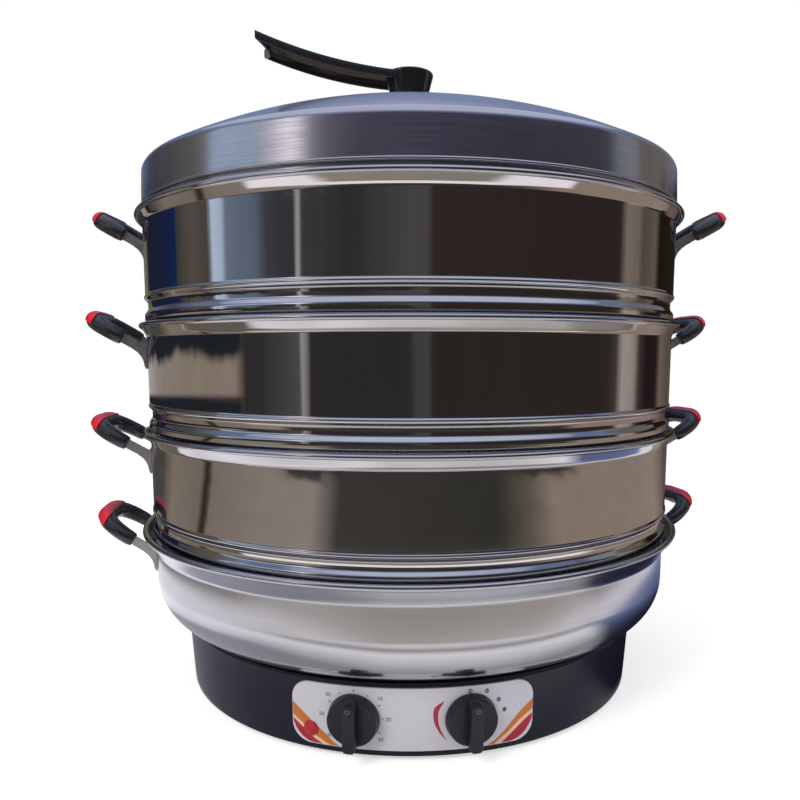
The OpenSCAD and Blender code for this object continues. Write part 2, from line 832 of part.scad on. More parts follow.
module base_bottom_cover() {
    color(housing)
        difference() {
            translate([0, 0, rubber_h]) cylinder(r = cover_r, h = cover_t);
            for (k = [0 : cover_screw_count - 1])
                rotate([0, 0, k * 360 / cover_screw_count])
                    translate([cover_screw_at_r, 0, rubber_h - overrun])
                        cylinder(r = cover_screw_r + fit_gap, h = cover_t + 2 * overrun, $fn = 24);
            for (k = [0 : 3])
                rotate([0, 0, 45 + k * 90])
                    translate([rubber_at_r, 0, rubber_h - overrun])
                        cylinder(r = rubber_stud_r, h = cover_t + 2 * overrun, $fn = 32);
            for (k = [0 : vent_count - 1])
                rotate([0, 0, (k + 0.5) * 360 / vent_count])
                    translate([vent_r - vent_l, -vent_w / 2, rubber_h - overrun])
                        cube([vent_l, vent_w, cover_t + 2 * overrun]);
        }
}

module rubber_feet() {
    color(rubber)
        for (k = [0 : 3])
            rotate([0, 0, 45 + k * 90])
                translate([rubber_at_r, 0, 0]) {
                    cylinder(r = rubber_r, h = rubber_h, $fn = 48);
                    cylinder(r = rubber_stud_r - fit_gap, h = rubber_h + rubber_stud_h, $fn = 32);
                    translate([0, 0, rubber_h + cover_t + fit_gap])
                        cylinder(r1 = rubber_stud_r + 2 * hole_gap, r2 = rubber_stud_r / 2,
                                 h = rubber_stud_h - cover_t, $fn = 32);
                }
}

module cover_screws() {
    color(steel)
        for (k = [0 : cover_screw_count - 1])
            rotate([0, 0, k * 360 / cover_screw_count])
                translate([cover_screw_at_r, 0, rubber_h - fit_gap]) {
                    translate([0, 0, -cover_screw_head_h])
                        cylinder(r = cover_screw_head_r, h = cover_screw_head_h, $fn = 32);
                    translate([0, 0, -cover_screw_head_h / 2])
                        cylinder(r = cover_screw_r - running_gap, h = cover_screw_l, $fn = 24);
                }
}

// Curved plate with rounded corners that follows the base
module control_panel() {
    half_w = base_top_r * sin(panel_half_deg);
    back = fit_gap;
    low = rubber_h;
    color(panel_white)
        difference() {
            intersection() {
                rotate([0, 0, 270 + panel_deg - 2 * panel_half_deg])
                    rotate_extrude(angle = 4 * panel_half_deg)
                        polygon([[wall_r_at(low) + back, low],
                                 [wall_r_at(base_top_z) + back, base_top_z],
                                 [wall_r_at(base_top_z) + back + panel_t, base_top_z],
                                 [wall_r_at(low) + back + panel_t, low]]);
                translate([0, 0, panel_low_z + panel_h / 2])
                    rotate([90, 0, panel_deg])
                        linear_extrude(height = 2 * base_top_r)
                            rounded_plan(2 * half_w, panel_h, panel_corner_r);
            }
            control_holes();
        }
}

// Rectangle with round corners, about its own middle
module rounded_plan(w, h, r) {
    union() {
        square([w - 2 * r, h], center = true);
        square([w, h - 2 * r], center = true);
        for (x = [-1, 1], y = [-1, 1])
            translate([x * (w / 2 - r), y * (h / 2 - r)])
                circle(r = r, $fn = 48);
    }
}

module pilot_lamp_lens() {
    color(lamp_red)
        at_control(lamp_deg, lamp_z) {
            translate([0, 0, -base_t])
                cylinder(r = lamp_r, h = base_t + 2 * panel_t, $fn = 32);
            translate([0, 0, 2 * fit_gap + panel_t])
                cylinder(r1 = lamp_bezel_r, r2 = lamp_r * 0.7, h = lamp_out, $fn = 32);
        }
}

module pilot_lamp_body() {
    color(phenolic)
        at_control(lamp_deg, lamp_z)
            translate([0, 0, -base_t - 2 * fit_gap - lamp_body_l])
                cylinder(r = lamp_bezel_r, h = lamp_body_l, $fn = 32);
}

// Switch body with a bearing neck and two screw bosses
module control_body(deg) {
    color(phenolic)
        at_control(deg, knob_z)
            difference() {
                union() {
                    translate([-body_w / 2, -body_h / 2, -base_t - body_set_back - body_d])
                        cube([body_w, body_h, body_d]);
                    translate([0, 0, -base_t - 2 * body_set_back])
                        cylinder(r = neck_r, h = 2 * body_set_back - 2 * fit_gap, $fn = 32);
                    for (s = [-1, 1])
                        translate([0, s * screw_y, -base_t - 2 * body_set_back])
                            cylinder(r = screw_boss_r, h = 2 * body_set_back - 2 * fit_gap, $fn = 24);
                }
                translate([0, 0, -base_t - neck_bore_d])
                    cylinder(r = shaft_r + running_gap, h = neck_bore_d + overrun, $fn = 32);
                for (s = [-1, 1])
                    translate([0, s * screw_y, -screw_l])
                        cylinder(r = screw_r, h = screw_l, $fn = 24);
            }
}

// Shaft from the switch body out into the knob
module control_shaft(deg) {
    color(brass)
        at_control(deg, knob_z)
            translate([0, 0, fit_gap - base_t - neck_bore_d])
                cylinder(r = shaft_r, h = neck_bore_d + base_t + panel_t + knob_bore_d, $fn = 32);
}

// Hollow knob with a skirt, a centre boss and a bar grip
module control_knob(deg) {
    color(bakelite)
        at_control(deg, knob_z)
            translate([0, 0, fit_gap + panel_t + knob_gap])
                difference() {
                    union() {
                        cylinder(r1 = knob_r, r2 = knob_r - knob_draft, h = knob_skirt_h, $fn = 64);
                        intersection() {
                            translate([-knob_bar_w / 2, -knob_r, knob_floor])
                                cube([knob_bar_w, 2 * knob_r, knob_skirt_h + knob_bar_h - knob_floor]);
                            cylinder(r = knob_r - knob_draft / 2, h = knob_skirt_h + knob_bar_h, $fn = 64);
                        }
                    }
                    translate([0, 0, -overrun])
                        difference() {
                            cylinder(r = knob_r - knob_wall, h = knob_skirt_h - knob_floor + overrun,
                                     $fn = 64);
                            cylinder(r = knob_boss_r, h = knob_skirt_h + overrun, $fn = 32);
                        }
                    translate([0, 0, -overrun])
                        cylinder(r = shaft_r + running_gap, h = knob_bore_d + overrun, $fn = 32);
                }
}

module control_screws() {
    color(steel)
        for (deg = [timer_deg, thermostat_deg], s = [-1, 1])
            at_control(deg, knob_z)
                translate([0, s * screw_y, 0]) {
                    translate([0, 0, fit_gap - screw_l])
                        cylinder(r = screw_r - running_gap, h = screw_l + 2 * panel_t, $fn = 24);
                    translate([0, 0, 2 * fit_gap + panel_t])
                        cylinder(r = screw_head_r, h = screw_head_h, $fn = 24);
                }
}

// Appliance inlet: a flanged cup for the plug of a lead
module power_inlet() {
    color(phenolic)
        at_control(180, inlet_z)
            translate([0, 0, fit_gap])
                difference() {
                    union() {
                        translate([0, 0, -inlet_d])
                            linear_extrude(height = inlet_d)
                                rounded_plan(inlet_w, inlet_h, inlet_corner_r);
                        linear_extrude(height = inlet_flange_t)
                            rounded_plan(inlet_w + 2 * inlet_flange, inlet_h + 2 * inlet_flange,
                                         inlet_corner_r);
                    }
                    translate([0, 0, inlet_floor - inlet_d])
                        linear_extrude(height = inlet_d)
                            rounded_plan(inlet_w - 2 * inlet_wall, inlet_h - 2 * inlet_wall,
                                         inlet_corner_r - inlet_wall / 2);
                    for (p = pin_places())
                        translate([p[0] - pin_w / 2, p[1] - pin_t / 2, -inlet_d - overrun])
                            cube([pin_w, pin_t, inlet_floor + 2 * overrun]);
                }
}

// Two live contacts side by side and the earth contact above them
function pin_places() =
    [[-pin_pitch * 0.8, -pin_pitch / 2], [pin_pitch * 0.8, -pin_pitch / 2], [0, pin_pitch / 2]];

module inlet_pins() {
    color(brass)
        at_control(180, inlet_z)
            for (p = pin_places())
                translate([p[0] - pin_w / 2 + running_gap, p[1] - pin_t / 2 + running_gap,
                           -inlet_d - pin_tail])
                    cube([pin_w - 2 * running_gap, pin_t - 2 * running_gap, pin_l]);
}

// Cast plate against the pot with a groove for the element
module heating_plate() {
    color(cast_aluminium)
        difference() {
            translate([0, 0, plate_z]) cylinder(r = plate_r, h = plate_t);
            roll(element_at_r, element_z, element_r + running_gap);
            for (k = [0 : 2])
                rotate([0, 0, 90 + k * 120])
                    translate([stud_at_r, 0, plate_z - overrun])
                        cylinder(r = stud_r + hole_gap, h = plate_t + 2 * overrun, $fn = 24);
        }
}

// Tubular element: an open ring with two terminals that point down
module heating_element() {
    color(steel) {
        rotate([0, 0, 270 + element_gap_deg / 2])
            rotate_extrude(angle = 360 - element_gap_deg)
                translate([element_at_r, element_z]) circle(r = element_r, $fn = 32);
        for (s = [-1, 1])
            rotate([0, 0, 270 + s * element_gap_deg / 2])
                translate([element_at_r, 0, element_z - terminal_l])
                    cylinder(r = terminal_r, h = terminal_l, $fn = 24);
    }
}

module thermal_cutout() {
    color(phenolic)
        translate([cutout_x, 0, plate_z - cutout_h - fit_gap])
            cylinder(r = cutout_r, h = cutout_h, $fn = 32);
}

// Pan under the heating plate, hung on the three studs
module heat_shield() {
    color(steel)
        difference() {
            translate([0, 0, shield_z]) {
                cylinder(r = shield_r, h = shield_t);
                difference() {
                    cylinder(r = shield_r, h = shield_rim_h);
                    translate([0, 0, -overrun])
                        cylinder(r = shield_r - shield_t, h = shield_rim_h + 2 * overrun);
                }
            }
            for (k = [0 : 2])
                rotate([0, 0, 90 + k * 120])
                    translate([stud_at_r, 0, shield_z - overrun])
                        cylinder(r = stud_r + hole_gap, h = shield_t + 2 * overrun, $fn = 24);
            translate([-element_at_r * sin(element_gap_deg), -element_at_r - 2 * terminal_r,
                       shield_z - overrun])
                cube([2 * element_at_r * sin(element_gap_deg), 4 * terminal_r, shield_t + 2 * overrun]);
        }
}

// Weld studs under the pot that pass through the base flange
module flange_studs() {
    color(steel)
        for (k = [0 : 3])
            rotate([0, 0, 45 + k * 90])
                translate([flange_stud_at_r, 0, base_top_z - flange_stud_l])
                    cylinder(r = stud_r, h = flange_stud_l, $fn = 24);
}

// Weld studs under the pot that carry the heating plate and the shield
module plate_studs() {
    color(steel)
        for (k = [0 : 2])
            rotate([0, 0, 90 + k * 120])
                translate([stud_at_r, 0, base_top_z - stud_long])
                    cylinder(r = stud_r, h = stud_long, $fn = 24);
}

module nut() {
    difference() {
        cylinder(r = nut_r, h = nut_h, $fn = 6);
        translate([0, 0, -overrun])
            cylinder(r = stud_r + running_gap, h = nut_h + 2 * overrun, $fn = 24);
    }
}

module stud_nuts() {
    color(steel) {
        for (k = [0 : 3])
            rotate([0, 0, 45 + k * 90])
                translate([flange_stud_at_r, 0, base_top_z - base_t - fit_gap - nut_h]) nut();
        for (k = [0 : 2], z = [nut_z_plate - fit_gap, shield_z + shield_t + fit_gap,
                               shield_z - fit_gap - nut_h])
            rotate([0, 0, 90 + k * 120])
                translate([stud_at_r, 0, z]) nut();
    }
}

// Lead at one height along a spoke of the base, between two radii
module spoke(deg, from_r, to_r) {
    rotate([0, 0, deg])
        translate([0, -from_r, wire_z])
            rotate([90, 0, 0])
                cylinder(r = lead_r, h = to_r - from_r, $fn = 16);
}

// Loom round the inside of the base, with leads to the inlet, the controls and the element
module internal_wiring() {
    loom_deg = lead_deg - lead_spare_deg;
    color(wire_red) {
        rotate([0, 0, 270 + thermostat_deg + loom_deg])
            rotate_extrude(angle = 360 - thermostat_deg + timer_deg - 2 * loom_deg)
                translate([wire_at_r, wire_z]) circle(r = wire_r, $fn = 16);
        for (end = [[-1, timer_deg], [1, thermostat_deg]])
            spoke(end[1] + end[0] * lead_deg, wire_at_r,
                  control_back_r / cos(lead_deg) - 2 * fit_gap);
        for (end = [[-1, timer_deg], [1, thermostat_deg]]) {
            deg = end[0] * element_gap_deg / 2;
            spoke(deg, element_at_r - terminal_r, control_back_r / cos(end[1] - deg) - 2 * fit_gap);
        }
        for (s = [-1, 1]) {
            x = s * pin_places()[1][0];
            rod([x, sqrt(pow(wire_at_r, 2) - pow(x, 2)), wire_z],
                [x, pin_end_y - lead_r, pin_end_z], lead_r);
        }
    }
}

base_shell();
base_bottom_cover();
rubber_feet();
cover_screws();
control_panel();
pilot_lamp_lens();
pilot_lamp_body();
control_body(timer_deg);  // timer_body
control_shaft(timer_deg);  // timer_shaft
control_knob(timer_deg);  // timer_knob
control_body(thermostat_deg);  // thermostat_body
control_shaft(thermostat_deg);  // thermostat_shaft
control_knob(thermostat_deg);  // thermostat_knob
control_screws();
power_inlet();
inlet_pins();
internal_wiring();
heating_plate();
heating_element();
thermal_cutout();
heat_shield();
flange_studs();
plate_studs();
stud_nuts();
pot_shell();
pot_bracket(1);  // pot_left_bracket
pot_bracket(0);  // pot_right_bracket
pot_grip(1);  // pot_left_grip
pot_grip(0);  // pot_right_grip
pot_caps();  // pot_grip_caps
pot_rivets();
tier_shell(0);  // tier1_shell
tier_bracket(0, 1);  // tier1_left_bracket
tier_bracket(0, 0);  // tier1_right_bracket
tier_grip(0, 1);  // tier1_left_grip
tier_grip(0, 0);  // tier1_right_grip
tier_caps(0);  // tier1_grip_caps
tier_rivets(0);  // tier1_rivets
steam_tray(0);  // tier1_steam_tray
tier_shell(1);  // tier2_shell
tier_bracket(1, 1);  // tier2_left_bracket
tier_bracket(1, 0);  // tier2_right_bracket
tier_grip(1, 1);  // tier2_left_grip
tier_grip(1, 0);  // tier2_right_grip
tier_caps(1);  // tier2_grip_caps
tier_rivets(1);  // tier2_rivets
steam_tray(1);  // tier2_steam_tray
tier_shell(2);  // tier3_shell
tier_bracket(2, 1);  // tier3_left_bracket
tier_bracket(2, 0);  // tier3_right_bracket
tier_grip(2, 1);  // tier3_left_grip
tier_grip(2, 0);  // tier3_right_grip
tier_caps(2);  // tier3_grip_caps
tier_rivets(2);  // tier3_rivets
steam_tray(2);  // tier3_steam_tray
lid_dome();
lid_skirt();
lid_handle();
lid_handle_screw();
lid_washer();
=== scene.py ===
"""Looks of a multi-tier electric steamer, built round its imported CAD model.

Sizes are in millimetres until a mesh is made. The Z axis is the axis of the pot, and the
control panel faces -Y.
"""

from __future__ import annotations

import json
import logging
import math
from collections.abc import Iterable, Sequence
from dataclasses import dataclass, field
from enum import Enum
from typing import Any, Protocol

import bmesh
import bpy
from mathutils import Matrix, Vector

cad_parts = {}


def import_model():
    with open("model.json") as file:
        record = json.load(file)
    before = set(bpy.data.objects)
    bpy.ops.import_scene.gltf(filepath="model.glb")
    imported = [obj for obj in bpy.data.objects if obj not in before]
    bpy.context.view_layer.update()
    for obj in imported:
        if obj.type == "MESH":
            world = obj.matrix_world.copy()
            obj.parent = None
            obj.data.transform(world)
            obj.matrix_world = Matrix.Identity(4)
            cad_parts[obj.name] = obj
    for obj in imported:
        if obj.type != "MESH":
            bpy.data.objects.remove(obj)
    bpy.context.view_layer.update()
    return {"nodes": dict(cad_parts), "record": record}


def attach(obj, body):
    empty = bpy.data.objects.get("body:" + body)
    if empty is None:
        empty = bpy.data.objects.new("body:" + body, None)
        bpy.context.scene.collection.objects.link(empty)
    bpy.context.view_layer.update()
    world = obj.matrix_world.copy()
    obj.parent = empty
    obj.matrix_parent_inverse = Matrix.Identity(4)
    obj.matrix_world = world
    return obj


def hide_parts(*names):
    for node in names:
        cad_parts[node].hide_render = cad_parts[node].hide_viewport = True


LOG = logging.getLogger("steamer")
MM = 0.001
# Edges that bend more than this stay sharp: on a plain piece, and on one whose edges are rounded
CREASE_DEG, BEVELLED_CREASE_DEG = 38.0, 50.0
Point = tuple[float, float]
# X, Y and section radius on a bent bar
Station = tuple[float, float, float]


# ---- Colours and nodes


def linear(colour: str) -> tuple[float, float, float, float]:
    """Turns an sRGB hex colour into linear light.

    Args:
        colour: the colour as #rrggbb.

    Returns:
        Red, green, blue and an alpha of 1.
    """
    foot_end, foot_slope, lift, power = 0.04045, 12.92, 0.055, 2.4
    channels = [int(colour[i : i + 2], 16) / 255 for i in (1, 3, 5)]
    red, green, blue = (
        c / foot_slope if c <= foot_end else ((c + lift) / (1 + lift)) ** power for c in channels
    )
    return red, green, blue, 1.0


def add_node(
    tree: bpy.types.NodeTree,
    kind: str,
    inputs: dict[str | int, object] | None = None,
    stops: Sequence[tuple[float, str]] = (),
    **settings: object,
) -> bpy.types.Node:
    """Adds one node with its settings and links.

    Args:
        tree: the node tree that gets the node.
        kind: Blender's name for the kind of node.
        inputs: values or sockets for the node's inputs.
        stops: places and hex colours of a colour ramp, from its start to its end.
        **settings: properties of the node.

    Returns:
        The new node.
    """
    node = tree.nodes.new(kind)
    for name, value in settings.items():
        setattr(node, name, value)
    for i, (place, colour) in enumerate(stops):
        elements = node.color_ramp.elements
        element = elements[i] if i < len(elements) else elements.new(place)
        element.position, element.color = place, linear(colour)
    for key, value in (inputs or {}).items():
        socket = node.inputs[key]
        if isinstance(value, bpy.types.NodeSocket):
            tree.links.new(value, socket)
        else:
            socket.default_value = value
    return node


# ---- Finishes

NOISE_LOW, NOISE_HIGH = 0.3, 0.7  # nearly all of the noise lies between them


def pattern_scale(size_mm: float) -> float:
    """Gives the texture scale at which one feature of a pattern has a real size."""
    return 1 / (size_mm * MM)


@dataclass(frozen=True)
class Surface:
    """A material's nodes while its finish is laid on.

    Attributes:
        tree: the material's node tree.
        shader: its shader.
        place: the object's own coordinates, in metres.
    """

    tree: bpy.types.NodeTree
    shader: bpy.types.Node
    place: bpy.types.NodeSocket

    def feed(self, name: str, value: bpy.types.NodeSocket) -> None:
        """Links a value to one input of the shader."""
        self.tree.links.new(value, self.shader.inputs[name])

    def round_the_axis(self, around: float) -> bpy.types.NodeSocket:
        """Turns the place into radius, height and a slow step round the Z axis.

        Args:
            around: metres that stand for one radian round the axis.

        Returns:
            Coordinates in which a line round the axis is nearly one point.
        """
        tree = self.tree
        apart = add_node(tree, "ShaderNodeSeparateXYZ", {"Vector": self.place})
        x, y, z = (apart.outputs[i] for i in range(3))
        flat = add_node(tree, "ShaderNodeCombineXYZ", {"X": x, "Y": y})
        radius = add_node(tree, "ShaderNodeVectorMath", {0: flat.outputs[0]}, operation="LENGTH")
        angle = add_node(tree, "ShaderNodeMath", {0: y, 1: x}, operation="ARCTAN2")
        step = add_node(tree, "ShaderNodeMath", {0: angle.outputs[0], 1: around}, operation="MULTIPLY")
        about = {"X": radius.outputs["Value"], "Y": step.outputs[0], "Z": z}
        return add_node(tree, "ShaderNodeCombineXYZ", about).outputs[0]


@dataclass(frozen=True)
class Finish:
    """A material and how its surface was made.

    Attributes:
        name: common name of the material and its surface.
        colour: colour of the clean surface.
        shade: second colour that the surface drifts to.
        metallic: 1 for bare metal.
        roughness: lowest and highest roughness of the surface.
        grain_mm: size of the fine pattern, as drawn.
        grain_depth_mm: depth of the fine pattern.
        drift_mm: size of the slow changes in colour and roughness.
    """

    name: str
    colour: str
    shade: str
    metallic: float = 0.0
    roughness: Point = (0.3, 0.4)
    grain_mm: float = 1.0
    grain_depth_mm: float = 0.01
    drift_mm: float = 60.0

    def material(self) -> bpy.types.Material:
        """Makes the material when it is first asked for.

        Returns:
            The material of this finish.
        """
        made = bpy.data.materials.get(self.name)
        if made is None:
            made = bpy.data.materials.new(self.name)
            made.use_nodes = True
            made.diffuse_color = linear(self.colour)
            tree = made.node_tree
            tree.nodes.clear()
            shader = add_node(tree, "ShaderNodeBsdfPrincipled", {"Metallic": self.metallic})
            add_node(tree, "ShaderNodeOutputMaterial", {"Surface": shader.outputs["BSDF"]})
            place = add_node(tree, "ShaderNodeTexCoord").outputs["Object"]
            self.dress(Surface(tree, shader, place))
        return made

    def dress(self, on: Surface) -> None:
        """Gives the shader its colour, roughness and relief.

        Args:
            on: the material's nodes.
        """
        slow, fine = (
            add_node(
                on.tree,
                "ShaderNodeTexNoise",
                {"Vector": on.place, "Scale": pattern_scale(size), "Detail": detail},
            ).outputs[0]
            for size, detail in ((self.drift_mm, 2.0), (self.grain_mm, 3.0))
        )
        self.tint(on, slow)
        self.soften(on, fine)
        self.emboss(on, fine, self.grain_depth_mm)

    def tint(self, on: Surface, mask: bpy.types.NodeSocket) -> None:
        """Lets the colour drift between the finish's two colours.

        Args:
            on: the material's nodes.
            mask: where the second colour shows.
        """
        ends = {0: mask, 6: linear(self.colour), 7: linear(self.shade)}
        on.feed("Base Color", add_node(on.tree, "ShaderNodeMix", ends, data_type="RGBA").outputs[2])

    def soften(self, on: Surface, mask: bpy.types.NodeSocket) -> None:
        """Lets the roughness drift between its two ends.

        Args:
            on: the material's nodes.
            mask: where the surface is rougher.
        """
        smooth, rough = self.roughness
        ends = {"From Min": NOISE_LOW, "From Max": NOISE_HIGH, "To Min": smooth, "To Max": rough}
        spread = add_node(on.tree, "ShaderNodeMapRange", {"Value": mask, **ends})
        on.feed("Roughness", spread.outputs["Result"])

    def emboss(
        self,
        on: Surface,
        height: bpy.types.NodeSocket,
        depth_mm: float,
        under: bpy.types.NodeSocket | None = None,
    ) -> bpy.types.NodeSocket:
        """Adds a relief to the surface.

        Args:
            on: the material's nodes.
            height: the relief, from 0 to 1.
            depth_mm: its depth.
            under: the relief that this one lies on.

        Returns:
            The normal with both reliefs.
        """
        bump = add_node(on.tree, "ShaderNodeBump", {"Height": height, "Distance": depth_mm * MM})
        if under is not None:
            on.tree.links.new(under, bump.inputs["Normal"])
        on.feed("Normal", bump.outputs["Normal"])
        return bump.outputs["Normal"]


@dataclass(frozen=True)
class PolishedStainless(Finish):
    """Cold-rolled 304 stainless sheet, spun and buffed.

    Attributes:
        wave_mm: length of the slow waves that spinning leaves in the sheet.
        wave_depth_mm: their depth.
        line_step: metres of pattern for each radian along the polish lines.
    """

    wave_mm: float = 75.0
    wave_depth_mm: float = 0.08
    line_step: float = 0.004

    def dress(self, on: Surface) -> None:
        """Gives a mirror that wavers a little, crossed by faint lines round the axis.

        Args:
            on: the material's nodes.
        """
        about = on.round_the_axis(self.line_step)
        lines, slow = (
            add_node(
                on.tree,
                "ShaderNodeTexNoise",
                {"Vector": place, "Scale": pattern_scale(size), "Detail": 2.0},
            ).outputs[0]
            for place, size in ((about, self.grain_mm), (on.place, self.drift_mm))
        )
        self.tint(on, slow)
        self.soften(on, lines)
        wave = {"Vector": on.place, "Scale": pattern_scale(self.wave_mm), "Detail": 0.0}
        waves = add_node(on.tree, "ShaderNodeTexNoise", wave).outputs[0]
        under = self.emboss(on, waves, self.wave_depth_mm)
        self.emboss(on, lines, self.grain_depth_mm, under)


@dataclass(frozen=True)
class BrushedStainless(Finish):
    """Stainless sheet brushed on the spinning lathe.

    Attributes:
        anisotropy: how much further the brushed lines spread light across than along.
        spread_turn: turn that lays that spread across the lines, as a share of a whole one.
        line_step: metres of pattern for each radian along the lines.
    """

    anisotropy: float = 0.55
    spread_turn: float = 0.25
    line_step: float = 0.006

    def dress(self, on: Surface) -> None:
        """Gives fine lines round the axis that spread each reflection across them.

        Args:
            on: the material's nodes.
        """
        about = on.round_the_axis(self.line_step)
        fine = {"Vector": about, "Scale": pattern_scale(self.grain_mm), "Detail": 3.0}
        lines = add_node(on.tree, "ShaderNodeTexNoise", fine).outputs[0]
        self.tint(on, lines)
        self.soften(on, lines)
        self.emboss(on, lines, self.grain_depth_mm)
        on.shader.inputs["Anisotropic"].default_value = self.anisotropy
        on.shader.inputs["Anisotropic Rotation"].default_value = self.spread_turn
        along = add_node(on.tree, "ShaderNodeTangent", direction_type="RADIAL", axis="Z")
        on.feed("Tangent", along.outputs["Tangent"])


@dataclass(frozen=True)
class MouldedPlastic(Finish):
    """Plastic from a mould, with or without a gloss.

    Attributes:
        ior: its refractive index.
        gloss: weight of the clear skin that a polished mould leaves.
        gloss_rough: roughness of that skin.
    """

    ior: float = 1.5
    gloss: float = 0.0
    gloss_rough: float = 0.06

    def dress(self, on: Surface) -> None:
        """Gives a fine mould grain, and a clear skin where the mould was polished.

        Args:
            on: the material's nodes.
        """
        super().dress(on)
        on.shader.inputs["IOR"].default_value = self.ior
        on.shader.inputs["Coat Weight"].default_value = self.gloss
        on.shader.inputs["Coat Roughness"].default_value = self.gloss_rough


@dataclass(frozen=True)
class ClearAcrylic(Finish):
    """Tinted acrylic, moulded with a faceted back that scatters the lamp's light.

    Attributes:
        ior: its refractive index.
        clearness: share of the light that passes through.
        gloss: weight of its clear skin.
        gloss_rough: roughness of that skin.
    """

    ior: float = 1.49
    clearness: float = 0.25
    gloss: float = 0.5
    gloss_rough: float = 0.05

    def dress(self, on: Surface) -> None:
        """Gives a deep tint with small facets behind a smooth face.

        Args:
            on: the material's nodes.
        """
        pattern = {"Vector": on.place, "Scale": pattern_scale(self.grain_mm)}
        facets = add_node(on.tree, "ShaderNodeTexVoronoi", pattern).outputs["Distance"]
        self.tint(on, facets)
        self.soften(on, facets)
        self.emboss(on, facets, self.grain_depth_mm)
        on.shader.inputs["IOR"].default_value = self.ior
        on.shader.inputs["Transmission Weight"].default_value = self.clearness
        on.shader.inputs["Coat Weight"].default_value = self.gloss
        on.shader.inputs["Coat Roughness"].default_value = self.gloss_rough


# Buffed 304 stainless: a clear mirror with polish lines, drawn 1 mm apart so that they show
MIRROR_STEEL = PolishedStainless(
    "polished_stainless", "#cccacc", "#c2bfc0", 1.0, (0.03, 0.065), 1.0, 0.0006, 90.0
)
# Lathe-brushed stainless: hair lines 0.3 mm apart, drawn at 0.9 mm so that they show
BRUSHED_STEEL = BrushedStainless(
    "brushed_stainless", "#cdcace", "#c0bdc2", 1.0, (0.14, 0.24), 0.9, 0.0012, 90.0
)
# Bead-blasted stainless: an even satin that blurs the floor into a pale band
SATIN_STEEL = PolishedStainless(
    "satin_stainless", "#c9c8ca", "#c2c1c4", 1.0, (0.14, 0.19), 0.7, 0.0008, 90.0, 90.0, 0.04
)
# Plain mill finish of a pressed tray, with grey rolling marks
TRAY_STEEL = PolishedStainless(
    "pressed_stainless", "#c3c2c6", "#b2b1b6", 1.0, (0.16, 0.26), 1.2, 0.002, 50.0, 60.0, 0.05
)
# Stamped and tumbled bracket steel: soft edges in the shine, small dull patches
BRACKET_STEEL = Finish("tumbled_stainless", "#d6d4d3", "#bab7b5", 1.0, (0.34, 0.5), 2.5, 0.006, 12.0)
# Zinc-plated screws and nuts: a milky grey with fine crystals
ZINC_STEEL = Finish("zinc_plated_steel", "#bdbfc2", "#9fa2a8", 1.0, (0.25, 0.4), 0.8, 0.006, 6.0)
# Phenolic resin from a matt mould: near black, a broad dull sheen and a pin-prick grain
BAKELITE = MouldedPlastic(
    "moulded_phenolic", "#232427", "#1b1c1f", 0.0, (0.2, 0.3), 0.9, 0.008, 25.0, 1.6
)
# The same phenolic from a polished mould: wet-looking where the lid throws light up at it
BUFFED_BAKELITE = MouldedPlastic(
    "polished_phenolic", "#1d1e21", "#18191b", 0.0, (0.07, 0.13), 0.9, 0.003, 25.0, 1.6, 0.6
)
# Red urea caps from a polished mould: wet-looking, with sharp highlights
RED_UREA = MouldedPlastic(
    "glossy_red_urea", "#e8182f", "#d81429", 0.0, (0.3, 0.38), 1.5, 0.003, 20.0, 1.45, 0.25
)
# Stoved paint on sheet steel: orange peel about 1.5 mm across under a half gloss
BASE_PAINT = MouldedPlastic(
    "stoved_black_paint", "#1b1c2b", "#171825", 0.0, (0.26, 0.34), 1.8, 0.004, 70.0, 1.36, 0.08
)
# Printed polycarbonate film: a flat satin face with a fine even tooth
PANEL_FILM = MouldedPlastic(
    "printed_polycarbonate", "#cfcdd6", "#c9c7d1", 0.0, (0.34, 0.44), 0.8, 0.004, 40.0, 1.58
)
# Screen-printed inks: flat colour with a slight mottle where the ink lies thinner
RED_INK, ORANGE_INK, CREAM_INK, GREY_INK = (
    MouldedPlastic(f"{name}_screen_ink", colour, shade, 0.0, (0.34, 0.44), 0.8, 0.004, mottle_mm)
    for name, colour, shade, mottle_mm in (
        ("red", "#b3213a", "#a01c33", 12.0),
        ("orange", "#cf7a2c", "#c26b2d", 12.0),
        ("cream", "#f0cbb4", "#e9bda5", 12.0),
        ("grey", "#4b4854", "#57545f", 8.0),
    )
)
# Glass-filled nylon knobs: dark graphite with a soft, dry sheen
KNOB_NYLON = MouldedPlastic(
    "graphite_nylon", "#20212b", "#1b1b24", 0.0, (0.34, 0.46), 0.7, 0.01, 14.0, 1.4
)
# Lighter grey ring round the hollow of the knob's pointer
POINTER_RING_GREY = MouldedPlastic("pointer_ring_grey", "#5a5a63", "#4c4c55", 0.0, (0.4, 0.5), 0.6, 0.01, 3.0)
# Red acrylic lens: a deep tint broken up by the facets at its back
LAMP_ACRYLIC = ClearAcrylic("red_acrylic", "#b3162a", "#d8283e", 0.0, (0.12, 0.2), 1.3, 0.05, 3.0)
# Pressed brass, a little tarnished: warm, with darker spots
BRASS = Finish("pressed_brass", "#c9a55a", "#ab8a48", 1.0, (0.2, 0.34), 0.8, 0.004, 6.0)
# Black nitrile rubber: chalky and dull, with a coarse moulded skin
RUBBER = MouldedPlastic(
    "nitrile_rubber", "#1d1d1e", "#262627", 0.0, (0.62, 0.78), 1.4, 0.03, 10.0, 1.52
)
# Sand-cast aluminium: pale, pitted and dull
CAST_ALUMINIUM = Finish("cast_aluminium", "#a9abae", "#96989b", 1.0, (0.42, 0.58), 1.8, 0.06, 20.0)
# Brown phenolic board and switch bodies: faint flow marks under a waxy gloss
SWITCH_PHENOLIC = MouldedPlastic(
    "brown_phenolic", "#2b2422", "#38302c", 0.0, (0.35, 0.5), 1.0, 0.01, 8.0, 1.6
)
